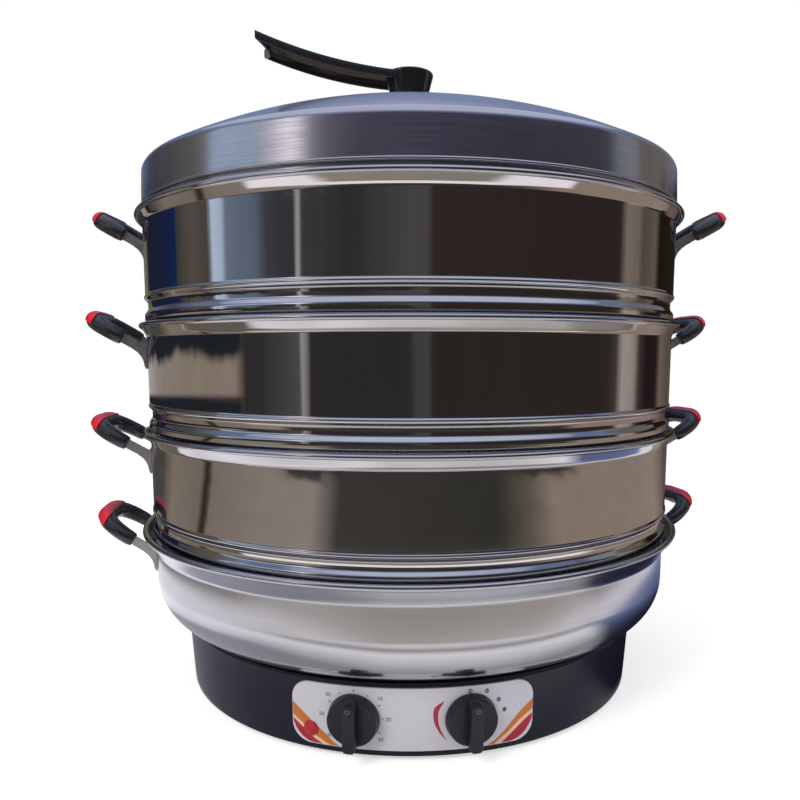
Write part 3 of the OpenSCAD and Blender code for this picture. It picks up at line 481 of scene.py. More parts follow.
# Silicone-rubber lead insulation: soft red-brown with a dry bloom
WIRE_SILICONE = MouldedPlastic(
    "silicone_insulation", "#a02a2a", "#8c2424", 0.0, (0.5, 0.62), 0.8, 0.01, 10.0, 1.43
)

SLOT_FINISHES: dict[str, Finish] = {
    "mirror_steel": MIRROR_STEEL,
    "brushed_steel": BRUSHED_STEEL,
    "satin_steel": SATIN_STEEL,
    "tray_steel": TRAY_STEEL,
    "bracket_steel": BRACKET_STEEL,
    "fastener_steel": ZINC_STEEL,
    "bakelite": BAKELITE,
    "grip_cap_red": RED_UREA,
    "base_paint": BASE_PAINT,
    "panel_white": PANEL_FILM,
    "knob_plastic": KNOB_NYLON,
    "lamp_red": LAMP_ACRYLIC,
    "brass": BRASS,
    "rubber": RUBBER,
    "cast_aluminium": CAST_ALUMINIUM,
    "phenolic": SWITCH_PHENOLIC,
    "wire": WIRE_SILICONE,
}


# ---- Meshes


def piece(
    name: str,
    points: Iterable[Sequence[float]],
    faces: Iterable[Sequence[int]],
    finish: Finish,
    place: Matrix | None = None,
    crease_deg: float = CREASE_DEG,
) -> bpy.types.Object:
    """Makes one mesh object.

    Args:
        name: name of the piece.
        points: its points, in millimetres.
        faces: its faces, as numbers of points.
        finish: its finish.
        place: where it stands, in millimetres, if its points aren't in place.
        crease_deg: edges that bend more than this stay sharp.

    Returns:
        The object, with its points in place and its origin at the world's.
    """
    place = place or Matrix.Identity(4)
    mesh = bpy.data.meshes.new(name)
    mesh.from_pydata([place @ Vector(p) * MM for p in points], [], [list(f) for f in faces])
    work = bmesh.new()
    work.from_mesh(mesh)
    bmesh.ops.recalc_face_normals(work, faces=work.faces)
    work.to_mesh(mesh)
    work.free()
    mesh.materials.append(finish.material())
    made = bpy.data.objects.new(name, mesh)
    bpy.context.scene.collection.objects.link(made)
    shade(made, crease_deg)
    return made


def shade(made: bpy.types.Object, crease_deg: float) -> None:
    """Shades a mesh smooth but for its sharp edges.

    Args:
        made: the object.
        crease_deg: edges that bend more than this stay sharp.
    """
    made.data.shade_smooth()
    made.data.set_sharp_from_angle(angle=math.radians(crease_deg))


def bevelled(
    made: bpy.types.Object,
    width_mm: float,
    segments: int = 3,
    over_deg: float = 30.0,
    sheet_mm: float = 0.0,
) -> bpy.types.Object:
    """Rounds the sharp edges of a mesh.

    Args:
        made: the object.
        width_mm: how far the rounding reaches from the edge.
        segments: steps in the rounding.
        over_deg: only edges that bend more than this are rounded.
        sheet_mm: thickness that an open skin gets first.

    Returns:
        The same object, with the rounding in its mesh.
    """
    if sheet_mm:
        solid = made.modifiers.new("sheet", "SOLIDIFY")
        solid.thickness, solid.offset, solid.use_even_offset = sheet_mm * MM, -1.0, True
    bevel = made.modifiers.new("edges", "BEVEL")
    bevel.width, bevel.segments = width_mm * MM, segments
    bevel.limit_method, bevel.angle_limit = "ANGLE", math.radians(over_deg)
    bevel.use_clamp_overlap = True
    bpy.context.view_layer.update()
    graph = bpy.context.evaluated_depsgraph_get()
    mesh = bpy.data.meshes.new_from_object(made.evaluated_get(graph))
    made.modifiers.clear()
    made.data = mesh
    shade(made, BEVELLED_CREASE_DEG)
    return made


def joined(name: str, parts: Sequence[bpy.types.Object]) -> bpy.types.Object:
    """Puts several meshes into one object.

    Args:
        name: name of the object.
        parts: the objects, which are used up.

    Returns:
        The first object, which now holds all of them.
    """
    with bpy.context.temp_override(
        active_object=parts[0], selected_objects=list(parts), selected_editable_objects=list(parts)
    ):
        bpy.ops.object.join()
    parts[0].name = name
    return parts[0]


def bands(rows: int, count: int, closed: bool = True) -> list[list[int]]:
    """Gives the faces between rows of points.

    Args:
        rows: number of rows.
        count: number of points in each row.
        closed: whether a row closes on itself.

    Returns:
        The faces, as numbers of points.
    """
    return [
        [i * count + k, i * count + after, (i + 1) * count + after, (i + 1) * count + k]
        for i in range(rows - 1)
        for k, after in ((k, (k + 1) % count) for k in range(count if closed else count - 1))
    ]


def arc(centre: Point, radius: float, start_deg: float, end_deg: float, steps: int) -> list[Point]:
    """Gives points along an arc.

    Args:
        centre: the arc's centre.
        radius: its radius.
        start_deg: angle of its first point.
        end_deg: angle of its last point.
        steps: number of steps between them.

    Returns:
        The points, both ends included.
    """
    turns = (math.radians(start_deg + (end_deg - start_deg) * i / steps) for i in range(steps + 1))
    return [(centre[0] + radius * math.cos(t), centre[1] + radius * math.sin(t)) for t in turns]


def softened(outline: Sequence[Point], radius: float, steps: int = 3) -> list[Point]:
    """Rounds the corners of an open outline.

    Args:
        outline: its points.
        radius: reach of each rounding along the outline, less where the points lie close.
        steps: steps in each rounding.

    Returns:
        The outline with round corners.
    """
    share, least_reach, least_bend = 0.45, 0.02, math.radians(4)
    out: list[Point] = [outline[0]]
    for before, here, after in zip(outline, outline[1:], outline[2:]):
        a, b, c = Vector(before), Vector(here), Vector(after)
        reach = min(radius, share * (b - a).length, share * (c - b).length)
        if reach < least_reach or (b - a).angle(c - b, 0.0) < least_bend:
            out.append(here)
            continue
        start, end = b + (a - b).normalized() * reach, b + (c - b).normalized() * reach
        for i in range(steps + 1):
            t = i / steps
            out.append(tuple(start * (1 - t) ** 2 + b * 2 * t * (1 - t) + end * t**2))
    out.append(outline[-1])
    return out


def steadied(outline: Sequence[Point], over: float = 5.0, reach: float = 0.6) -> list[Point]:
    """Adds points near the ends of long straight lines, so that they shade straight.

    Args:
        outline: a closed outline.
        over: length from which a line gets them.
        reach: their distance from its ends.

    Returns:
        The outline with the points added.
    """
    out: list[Point] = []
    for here, after in zip(outline, [*outline[1:], outline[0]]):
        out.append(tuple(here))
        a, b = Vector(here), Vector(after)
        if (b - a).length > over:
            step = (b - a).normalized() * reach
            out += [tuple(a + step), tuple(b - step)]
    return out


def turned(
    name: str,
    outline: Sequence[Point],
    finish: Finish,
    place: Matrix | None = None,
    steps: int = 256,
) -> bpy.types.Object:
    """Turns a closed outline about the Z axis.

    Args:
        name: name of the piece.
        outline: radius and height of each point, in order round the section.
        finish: its finish.
        place: where its axis stands, if not on the world's.
        steps: steps round the axis.

    Returns:
        The turned object.
    """
    on_axis = 1e-4
    points: list[Vector] = []
    rings: list[list[int]] = []
    for radius, height in steadied(outline):
        count = steps if radius > on_axis else 1
        rings.append([len(points) + i for i in range(count)])
        for i in range(count):
            turn = 2 * math.pi * i / steps
            points.append(Vector((radius * math.cos(turn), radius * math.sin(turn), height)))
    faces: list[list[int]] = []
    for low, high in zip(rings, rings[1:] + rings[:1]):
        for i in range(steps):
            j = (i + 1) % steps
            corners = [low[i % len(low)], low[j % len(low)], high[j % len(high)], high[i % len(high)]]
            face = list(dict.fromkeys(corners))
            if len(face) > 2:
                faces.append(face)
    return piece(name, points, faces, finish, place)


def rounded_plan(width: float, height: float, radius: float, steps: int = 6) -> list[Point]:
    """Gives the outline of a rectangle with round corners, about its own middle.

    Args:
        width: its width.
        height: its height.
        radius: radius of its corners.
        steps: steps in each corner.

    Returns:
        The points, anticlockwise.
    """
    x, y = width / 2 - radius, height / 2 - radius
    corners = [((x, y), 0), ((-x, y), 90), ((-x, -y), 180), ((x, -y), 270)]
    return [p for centre, start in corners for p in arc(centre, radius, start, start + 90, steps)]


def raised(
    name: str, plan: Sequence[Point], low: float, high: float, finish: Finish, place: Matrix
) -> bpy.types.Object:
    """Raises a plan into a solid with flat ends.

    Args:
        name: name of the piece.
        plan: its outline, anticlockwise.
        low: height of its lower face.
        high: height of its upper face.
        finish: its finish.
        place: where it stands.

    Returns:
        The solid.
    """
    count = len(plan)
    points = [(x, y, z) for z in (low, high) for x, y in plan]
    faces = [*bands(2, count), list(range(count))[::-1], list(range(count, 2 * count))]
    return piece(name, points, faces, finish, place)


# ---- Side handles


class Side(Enum):
    """The two sides that carry a handle, with the turn from the +X axis."""

    RIGHT = 0
    LEFT = 180


@dataclass
class SideHandles:
    """The bent grips and red caps on the two sides of the pot or of a tier.

    Attributes:
        stage_name: name of the pot or tier, as in the CAD nodes.
        body: CAD body that they ride on.
        wall_r: outer radius of the wall.
        root_z: height of the bracket's root.
        tilt_deg: slope of the grip.
        turn_deg: how the pot or tier is turned.
    """

    stage_name: str
    body: str
    wall_r: float
    root_z: float
    tilt_deg: float
    turn_deg: float
    leg_pitch: float = 65.0
    reach: float = 43.4
    bar_r: float = 6.4
    leg_end_r: float = 5.0
    leg_swell: float = 0.4
    leg_l: float = 27.0
    corner_r: float = 23.5
    corner_steps: int = 20
    slim_power: float = 1.5
    end_round: float = 1.2
    end_steps: int = 4
    sides: int = 40
    ridge: float = 0.12
    ridge_from: int = 6
    cap_t: float = 1.6
    cap_proud: float = 0.6
    cap_reach: float = 2.0
    cap_low: float = 2.5
    cap_bend_deg: float = 80.0
    cap_turns_deg: tuple[int, int, int] = (-56, 137, 6)
    cap_edge: float = 0.4

    def place(self, side: Side) -> Matrix:
        """Gives the frame of a handle: X along its slope, Y along its bar.

        Args:
            side: which handle.

        Returns:
            The frame, in millimetres.
        """
        return (
            Matrix.Rotation(math.radians(self.turn_deg + side.value), 4, "Z")
            @ Matrix.Translation((self.wall_r, 0, self.root_z))
            @ Matrix.Rotation(-math.radians(self.tilt_deg), 4, "Y")
        )

    def bend(self, radius: float, over_deg: float = 90.0, slimming: float = 0.0) -> list[Station]:
        """Gives the middle line of the bar and its two round corners.

        Args:
            radius: radius of the bar's section.
            over_deg: how far round each corner the line goes.
            slimming: how much smaller the section is at a corner's end.

        Returns:
            X, Y and section radius of each station.
        """
        straight = self.leg_pitch / 2 - self.corner_r
        steps, power = self.corner_steps, self.slim_power
        curve = arc((self.reach - self.corner_r, straight), self.corner_r, over_deg, 0, steps)
        half = [(x, y, radius - slimming * (1 - i / steps) ** power) for i, (x, y) in enumerate(curve)]
        return half + [(x, -y, r) for x, y, r in reversed(half)]

    def spine(self) -> list[Station]:
        """Gives the grip's middle line.

        Returns:
            X, Y and radius of each station, from one leg's end to the other's.
        """
        leg_y = self.leg_pitch / 2
        inner, start = self.reach - self.leg_l, self.reach - self.corner_r
        leg_r = self.leg_end_r + self.leg_swell
        leg: list[Station] = []
        nearly = 0.999
        for i in range(self.end_steps + 1):
            t = math.radians(90 * i / self.end_steps)
            x = inner + self.end_round * (1 - math.cos(t)) * nearly
            leg.append((x, leg_y, self.leg_end_r - self.end_round * (1 - math.sin(t))))
        leg.append(((inner + self.end_round + start) / 2, leg_y, (self.leg_end_r + leg_r) / 2))
        bend = self.bend(self.bar_r, slimming=self.bar_r - leg_r)
        return leg + bend + [(x, -y, r) for x, y, r in reversed(leg)]

    def sleeve(
        self, spine: Sequence[Station], turns_deg: Sequence[float], ridge: float = 0.0
    ) -> list[Vector]:
        """Gives points round a middle line, station by station.

        Args:
            spine: X, Y and radius of each station.
            turns_deg: angles round the section, from its outer side up.
            ridge: how far the parting line on the outer and inner side stands out.

        Returns:
            The points.
        """
        points: list[Vector] = []
        for i, (x, y, radius) in enumerate(spine):
            ahead, behind = spine[min(i + 1, len(spine) - 1)], spine[max(i - 1, 0)]
            along = Vector((ahead[0] - behind[0], ahead[1] - behind[1], 0.0)).normalized()
            across = Vector((-along.y, along.x, 0.0))
            on_bend = self.ridge_from <= i < len(spine) - self.ridge_from
            for deg in turns_deg:
                proud = ridge if deg % 180 == 0 and on_bend else 0.0
                turn = math.radians(deg)
                out = across * (radius + proud) * math.cos(turn)
                points.append(Vector((x, y, radius * math.sin(turn))) + out)
        return points

    def grip(self, side: Side) -> bpy.types.Object:
        """Builds one moulded grip with a faint parting line round it.

        Args:
            side: which handle.

        Returns:
            The grip.
        """
        spine, sides = self.spine(), self.sides
        points = self.sleeve(spine, [360 * k / sides for k in range(sides)], self.ridge)
        last = (len(spine) - 1) * sides
        faces = [*bands(len(spine), sides), list(range(sides))[::-1], list(range(last, last + sides))]
        name = f"{self.stage_name}_{side.name.lower()}_grip"
        place = self.place(side)
        made = piece(f"{name}_moulding", points, faces, BAKELITE, place, BEVELLED_CREASE_DEG)
        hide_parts(name)
        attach(made, self.body)
        return made

    def cap(self, side: Side) -> bpy.types.Object:
        """Builds one red cap: a skin over the outer and upper side of the bend.

        Args:
            side: which handle.

        Returns:
            The cap.
        """
        turns = list(range(*self.cap_turns_deg))
        spine = self.bend(self.bar_r + self.cap_proud, self.cap_bend_deg)
        faces = bands(len(spine), len(turns), closed=False)
        name = f"{self.stage_name}_{side.name.lower()}_cap"
        made = piece(name, self.sleeve(spine, turns), faces, RED_UREA)
        work = bmesh.new()
        work.from_mesh(made.data)
        for place, normal in (
            ((self.reach - self.cap_reach, 0, 0), (1, 0, 0)),
            ((0, 0, -self.cap_low), (0, 0, 1)),
        ):
            bmesh.ops.bisect_plane(
                work,
                geom=[*work.verts, *work.edges, *work.faces],
                plane_co=Vector(place) * MM,
                plane_no=normal,
                clear_inner=True,
            )
        bmesh.ops.recalc_face_normals(work, faces=work.faces)
        middle = max(work.faces, key=lambda f: f.calc_center_median().x)
        if middle.normal.x < 0:
            bmesh.ops.reverse_faces(work, faces=work.faces)
        work.transform(Matrix.Scale(1 / MM, 4))
        work.transform(self.place(side))
        work.transform(Matrix.Scale(MM, 4))
        work.to_mesh(made.data)
        work.free()
        return bevelled(made, self.cap_edge, over_deg=BEVELLED_CREASE_DEG, sheet_mm=self.cap_t)

    def build(self) -> int:
        """Builds both grips and both caps.

        Returns:
            The number of pieces made.
        """
        for side in Side:
            self.grip(side)
        caps = joined(f"{self.stage_name}_red_caps", [self.cap(side) for side in Side])
        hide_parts(f"{self.stage_name}_grip_caps")
        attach(caps, self.body)
        return 3


# ---- Stages of the stack


# Width and height along a flare, as shares of the whole
FLARE_SHARES = ((0.0, 0.0), (0.07, 0.12), (0.26, 0.32), (0.6, 0.62), (1.0, 1.0))
# How far under its rim a side handle's bracket is rooted
ROOT_DROP = 18.6
# Rounding of a sheet's cut edge
SHEET_CORNER = 0.4


def flare(wall_r: float, width: float, top: float, rise: float) -> list[Point]:
    """Gives the flare under a rim, from the wall up.

    Args:
        wall_r: radius of the wall.
        width: how far the flare stands out.
        top: height of its upper end.
        rise: its height.

    Returns:
        Its points, smoothed.
    """
    lead, soft_r, soft_steps = 3.0, 2.2, 4
    knots = [(wall_r + u * width, top - rise + v * rise) for u, v in FLARE_SHARES]
    return softened([(wall_r, top - rise - lead)] + knots, soft_r, soft_steps)[1:]


@dataclass
class Tier:
    """One steaming tier: a spun shell with its handles.

    Attributes:
        number: place in the stack, 1 at the bottom.
        rim_z: height of its rim.
        turn_deg: how it is turned about the axis.
    """

    number: int
    rim_z: float
    turn_deg: float
    wall_r: float = 200.0
    sheet_t: float = 0.8
    rim_out: float = 5.3
    roll_r: float = 1.9
    flare_h: float = 10.0
    flare_top: float = 1.6
    wall_h: float = 57.3
    bead_h: float = 3.2
    bead_out: float = 0.8
    bead_steps: int = 8
    waist_in: float = 1.8
    waist_h: float = 5.5
    step_h: float = 1.7
    ramp_h: float = 3.0
    foot_out: float = 0.6
    foot_h: float = 5.0
    spigot_out: float = 0.2
    spigot_l: float = 84.2
    joggle: float = 2.6
    joggle_low: float = 4.2
    joggle_ramp: float = 1.2
    joggle_top: float = 0.2
    soft_r: float = 0.9
    roll_deg: tuple[float, float, int] = (-98, 226, 22)
    flare_points_under_roll: int = 3
    tilt_deg: float = 30.0
    body: str = field(init=False)

    def __post_init__(self) -> None:
        """Names the CAD body that the tier rides on."""
        self.body = f"tier{self.number}"

    def outer_side(self) -> list[Point]:
        """Gives the outer side of the sheet from its foot up to the flare.

        Returns:
            Its points, with heights counted from the rim.
        """
        bead_z = -self.wall_h
        waist_top = bead_z - self.bead_h - self.step_h
        waist_low = waist_top - self.waist_h
        foot_top = waist_low - self.ramp_h
        foot_low = foot_top - self.foot_h
        wall_r, steps = self.wall_r, self.bead_steps
        top = -self.roll_r * self.flare_top
        bead = [
            (wall_r + self.bead_out * math.sin(math.pi * i / steps), bead_z - self.bead_h * (1 - i / steps))
            for i in range(steps + 1)
        ]
        spigot_r, joggle_r = wall_r + self.spigot_out, wall_r - self.joggle
        low = [
            (spigot_r - SHEET_CORNER, -self.spigot_l),
            (spigot_r, SHEET_CORNER - self.spigot_l),
            (spigot_r, foot_low - self.joggle_low),
            (joggle_r, foot_low - self.joggle_low + self.joggle_ramp),
            (joggle_r, foot_low + self.joggle_top),
            (wall_r + self.foot_out, foot_low),
            (wall_r + self.foot_out, foot_top),
            (wall_r - self.waist_in, waist_low),
            (wall_r - self.waist_in, waist_top),
            bead[0],
        ]
        rise = flare(wall_r, self.rim_out - self.roll_r, top, self.flare_h + top)
        return softened(low, self.soft_r) + bead[1:] + rise[: -self.flare_points_under_roll]

    def shell(self) -> bpy.types.Object:
        """Builds the shell with its rolled rim.

        Returns:
            The shell.
        """
        outer = self.outer_side()
        inner = [(r - self.sheet_t, z) for r, z in reversed(outer)]
        centre = (self.wall_r + self.rim_out - self.roll_r, -self.roll_r)
        outline = outer + arc(centre, self.roll_r, *self.roll_deg) + inner
        made = turned(f"{self.body}_spun_shell", [(r, z + self.rim_z) for r, z in outline], MIRROR_STEEL)
        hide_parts(f"{self.body}_shell")
        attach(made, self.body)
        return made

    def build(self) -> int:
        """Builds the tier.

        Returns:
            The number of pieces made.
        """
        self.shell()
        root_z = self.rim_z - ROOT_DROP
        handles = SideHandles(self.body, self.body, self.wall_r, root_z, self.tilt_deg, self.turn_deg)
        return 1 + handles.build()


@dataclass
class Pot:
    """The heated pot: a deep-drawn shell with a flared rim and its handles."""

    rim_z: float = 123.0
    low_z: float = 51.5
    wall_r: float = 199.0
    sheet_t: float = 1.0
    corner_r: float = 34.0
    corner_steps: int = 20
    rim_out: float = 9.5
    roll_r: float = 2.2
    roll_deg: tuple[float, float, int] = (-85, 240, 22)
    flare_h: float = 15.5
    flare_top: float = 2.1
    tilt_deg: float = 34.0
    turn_deg: float = 6.75
    body: str = "base"

    def side(self, inset: float) -> list[Point]:
        """Gives one side of the sheet, from the middle of the bottom up to the flare.

        Args:
            inset: how far it lies inside the outer side.

        Returns:
            Its points.
        """
        centre = (self.wall_r - self.corner_r, self.low_z + self.corner_r)
        corner = arc(centre, self.corner_r - inset, -90, 0, self.corner_steps)
        drop = self.roll_r * self.flare_top
        flared = flare(self.wall_r, self.rim_out - self.roll_r, self.rim_z - drop, self.flare_h - drop)
        return [(0.0, self.low_z + inset), *corner, *((r - inset, z) for r, z in flared)]

    def build(self) -> int:
        """Builds the pot.

        Returns:
            The number of pieces made.
        """
        centre = (self.wall_r + self.rim_out - self.roll_r, self.rim_z - self.roll_r)
        roll = arc(centre, self.roll_r, *self.roll_deg)
        outline = self.side(0.0) + roll + self.side(self.sheet_t)[::-1]
        made = turned("pot_drawn_shell", outline, SATIN_STEEL)
        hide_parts("pot_shell")
        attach(made, self.body)
        root_z = self.rim_z - ROOT_DROP
        handles = SideHandles("pot", self.body, self.wall_r, root_z, self.tilt_deg, self.turn_deg)
        return 1 + handles.build()


@dataclass
class Lid:
    """The lid: a brushed skirt, a round shoulder and a shallow dome.

    Attributes:
        rim_z: height of the rim that it sits in.
    """

    rim_z: float
    skirt_r: float = 200.2
    skirt_lean: float = 0.9
    skirt_h: float = 27.0
    low_drop: float = 7.2
    shoulder_r: float = 6.0
    shoulder_steps: int = 12
    edge_deg: float = 27.8
    sheet_t: float = 0.8
    roll_r: float = 1.2
    roll_rise: float = 4.32
    roll_deg: tuple[float, float, int] = (-86, 68, 14)
    joggle: float = 2.6
    joggle_low: float = 2.0
    joggle_top: float = 0.6
    joggle_gap: float = 1.1
    inner_step: float = 0.2
    dome_steps: int = 40
    body: str = "lid"

    @property
    def top_r(self) -> float:
        """Radius of the skirt at the shoulder."""
        return self.skirt_r - self.skirt_lean

    @property
    def dome_r(self) -> float:
        """Radius of the dome's curve."""
        edge = self.top_r - self.shoulder_r + self.shoulder_r * math.sin(math.radians(self.edge_deg))
        return edge / math.sin(math.radians(self.edge_deg))

    @property
    def top_z(self) -> float:
        """Height of the dome's top."""
        rise = math.cos(math.radians(self.edge_deg))
        return self.rim_z + self.skirt_h + self.shoulder_r * rise + self.dome_r * (1 - rise)

    def side(self, inset: float) -> list[Point]:
        """Gives one side of the sheet from the skirt's foot up to the dome's top.

        Args:
            inset: how far it lies inside the outer side.

        Returns:
            Its points.
        """
        low, roll_z = self.rim_z - self.low_drop, self.rim_z + self.roll_rise
        skirt_r, joggle_r = self.skirt_r - inset, self.skirt_r - self.joggle - inset
        foot = [
            (self.skirt_r - SHEET_CORNER - inset, low),
            (skirt_r, low + SHEET_CORNER),
            (skirt_r, self.rim_z - self.joggle_low),
            (joggle_r, self.rim_z - self.joggle_top),
        ]
        if inset == 0:
            roll = arc((self.skirt_r - self.roll_r / 2, roll_z), self.roll_r, *self.roll_deg)
            foot += [(joggle_r, roll_z - self.joggle_gap), *roll]
        else:
            foot += [(joggle_r, roll_z), (self.skirt_r - self.inner_step - inset, roll_z + self.roll_r)]
        centre = (self.top_r - self.shoulder_r, self.rim_z + self.skirt_h)
        shoulder = arc(centre, self.shoulder_r - inset, 0, 90 - self.edge_deg, self.shoulder_steps)
        dome_r, centre_z = self.dome_r - inset, self.top_z - self.dome_r
        shares = (1 - i / self.dome_steps for i in range(1, self.dome_steps + 1))
        turns = [math.radians(self.edge_deg * share) for share in shares]
        dome = [(dome_r * math.sin(turn), centre_z + dome_r * math.cos(turn)) for turn in turns]
        return foot + shoulder + dome

    def build(self) -> int:
        """Builds the lid and its handle.

        Returns:
            The number of pieces made.
        """
        outline = self.side(0.0) + self.side(self.sheet_t)[::-1]
        made = turned("lid_spun_shell", outline, BRUSHED_STEEL)
        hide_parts("lid_dome", "lid_skirt")
        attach(made, self.body)
        return 1 + LidHandle(self.top_z).build()


@dataclass
class LidHandle:
    """Stand-up handle: a flared hub with one hollow arm that curves up.

    Attributes:
        foot_z: height of the lid under the hub.
    """

    foot_z: float
    top_r: float = 18.5
    neck_r: float = 14.2
    foot_r: float = 19.0
    foot_h: float = 2.5
    sunk: float = 1.0
    neck_low: float = 9.0
    neck_high: float = 19.0
    neck_swell: float = 0.6
    height: float = 35.0
    round_r: float = 2.5
    top_edge: float = 0.8
    top_ring: float = 2.0
    hub_soft: tuple[float, int] = (1.3, 5)
    arm_l: float = 115.0
    arm_rise: float = 25.0
    arm_drop: float = 0.6
    root_w: float = 31.0
    tip_w: float = 40.0
    edge_h: float = 5.5
    arm_edge: float = 0.9
    skin: float = 2.4
    wall: float = 3.0
    wall_edge: float = 0.86
    rows: int = 10
    stations: int = 24
    even_shares: Point = (0.1, 0.94)
    tip_wall: float = 0.97
    tip_gap: Point = (0.005, 0.002)
    crease_deg: float = 42.0
    sides: int = 96
    root_share: float = 0.55
    notch_r: float = 34.0
    notch_d: float = 5.0
    start_deg: float = 6.3
    turn_deg: float = -2.25
    body: str = "lid"

    def hub(self) -> bpy.types.Object:
        """Builds the flared hub.

        Returns:
            The hub.
        """
        z, top = self.foot_z, self.foot_z + self.height
        side = [
            (self.foot_r, z - self.sunk),
            (self.foot_r, z + self.foot_h),
            (self.neck_r, z + self.neck_low),
            (self.neck_r + self.neck_swell, z + self.neck_high),
            (self.top_r, top - self.round_r),
            (self.top_r, top - self.top_edge),
            (self.top_r - self.top_ring, top),
            (0.0, top),
        ]
        outline = [(0.0, z - self.sunk)] + softened(side, *self.hub_soft)
        return turned("lid_hub", outline, BUFFED_BAKELITE, steps=self.sides)

    def arm_height(self, out: float) -> float:
        """Gives the height of the arm's upper face.

        Args:
            out: distance from the hub's neck along the arm.

        Returns:
            The height.
        """
        run, start = self.arm_l - self.neck_r, math.radians(self.start_deg)
        curve_r = run**2 / (2 * (self.arm_rise - run * math.tan(start)))
        lead = curve_r * math.sin(start)
        root_z = self.foot_z + self.height - self.arm_drop * self.round_r
        centre_z = root_z + curve_r * math.cos(start)
        return centre_z - math.sqrt(curve_r**2 - (out + lead) ** 2)

    def arm(self) -> bpy.types.Object:
        """Builds the hollow arm with its hollowed tip.

        Returns:
            The arm.
        """
        count, wall, rows = self.stations, self.wall, self.rows
        (near, far), (before, after) = self.even_shares, self.tip_gap
        stations = [0.0, near / 2, near, *(near + (far - near) * i / count for i in range(1, count + 1))]
        stations += [self.tip_wall - before, self.tip_wall + after, 1.0]
        points: list[Vector] = []

        def tip(y: float) -> float:
            """Gives the arm's end at a distance from its middle line."""
            sagitta = self.notch_r - math.sqrt(max(self.notch_r**2 - y**2, 0.0))
            return min(self.arm_l, self.arm_l - self.notch_d + sagitta)

        root = self.neck_r * self.root_share
        for under in (False, True):
            for share in stations:
                half = (self.root_w + (self.tip_w - self.root_w) * share) / 2
                edge = wall * self.wall_edge
                spread = [-half, -half + edge, -half + wall]
                spread += [(half - wall) * (2 * k / rows - 1) for k in range(1, rows)]
                spread += [half - wall, half - edge, half]
                for k, y in enumerate(spread):
                    out = root + (tip(y) - root) * share
                    top = self.arm_height(out - self.neck_r)
                    hollow = under and 1 < k < len(spread) - 2 and share < self.tip_wall
                    depth = (self.skin if hollow else self.edge_h) if under else 0.0
                    points.append(Vector((-out, y, top - depth)))
        row = len(points) // (2 * len(stations))
        layer = row * len(stations)
        faces: list[list[int]] = []
        for above in bands(len(stations), row, closed=False):
            faces += [above, [layer + above[i] for i in (0, 3, 2, 1)]]
        steps = len(stations) - 1
        last = steps * row
        rim = [*range(row - 1), *(i * row + row - 1 for i in range(steps))]
        rim += [last + row - 1 - k for k in range(row - 1)] + [last - i * row for i in range(steps)]
        faces += [[a, layer + a, layer + b, b] for a, b in zip(rim, rim[1:] + rim[:1])]
        place = Matrix.Rotation(math.radians(self.turn_deg), 4, "Z")
        made = piece("lid_arm", points, faces, BUFFED_BAKELITE, place)
        return bevelled(made, self.arm_edge, over_deg=self.crease_deg)

    def build(self) -> int:
        """Builds the handle as one piece.

        Returns:
            The number of pieces made.
        """
        made = joined("lid_handle_moulding", [self.hub(), self.arm()])
        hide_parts("lid_handle")
        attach(made, self.body)
        return 1


# ---- Base and controls


@dataclass
class Wall:
    """The leaning wall of the base, which carries the panel and the controls."""

    low_r: float = 174.0
    top_r: float = 177.0
    low_z: float = 3.0
    height: float = 48.5
    corner_r: float = 2.0

    @property
    def lean_deg(self) -> float:
        """How far the wall leans out."""
        return math.degrees(math.atan2(self.top_r - self.low_r, self.height - self.corner_r))

    def radius(self, z: float) -> float:
        """Gives the wall's radius at a height."""
        return self.low_r + (self.top_r - self.low_r) * (z - self.low_z) / (self.height - self.corner_r)

    def place(self, deg: float, z: float) -> Matrix:
        """Gives a frame on the wall: Z points out of it and Y up it.

        Args:
            deg: angle from the front, to the right.
            z: height.

        Returns:
            The frame, in millimetres.
        """
        return (
            Matrix.Rotation(math.radians(deg), 4, "Z")
            @ Matrix.Translation((0, -self.radius(z), z))
            @ Matrix.Rotation(math.radians(90 + self.lean_deg), 4, "X")
        )


@dataclass
class Base:
    """The painted housing under the pot."""

    wall: Wall
    sheet_t: float = 1.5
    flange_r: float = 150.0
    lip_r: float = 158.0
    lip_z: float = 4.2
    foot_edge: float = 0.5
    rings_z: tuple[float, float, float] = (16.0, 28.0, 40.0)
    corner_steps: int = 8
    body: str = "base"

    def build(self) -> int:
        """Builds the housing.

        Returns:
            The number of pieces made.
        """
        wall, t = self.wall, self.sheet_t
        top = wall.low_z + wall.height
        outer = [(wall.low_r - self.foot_edge, wall.low_z), (wall.low_r, wall.low_z + self.foot_edge)]
        outer += [(wall.radius(z), z) for z in self.rings_z]
        centre = (wall.top_r - wall.corner_r, top - wall.corner_r)
        outer += arc(centre, wall.corner_r, 0, 90, self.corner_steps)
        inner = [
            (self.flange_r, top),
            (self.flange_r, top - t),
            (wall.top_r - wall.corner_r, top - t),
            (wall.top_r - t, top - wall.corner_r - t),
            (wall.radius(self.lip_z + t) - t, self.lip_z + t),
            (self.lip_r, self.lip_z + t),
            (self.lip_r, self.lip_z),
            (wall.radius(self.lip_z) - t, self.lip_z),
            (wall.low_r - t, wall.low_z),
        ]
        made = turned("base_drawn_housing", outer + inner, BASE_PAINT)
        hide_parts("base_shell")
        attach(made, self.body)
        return 1


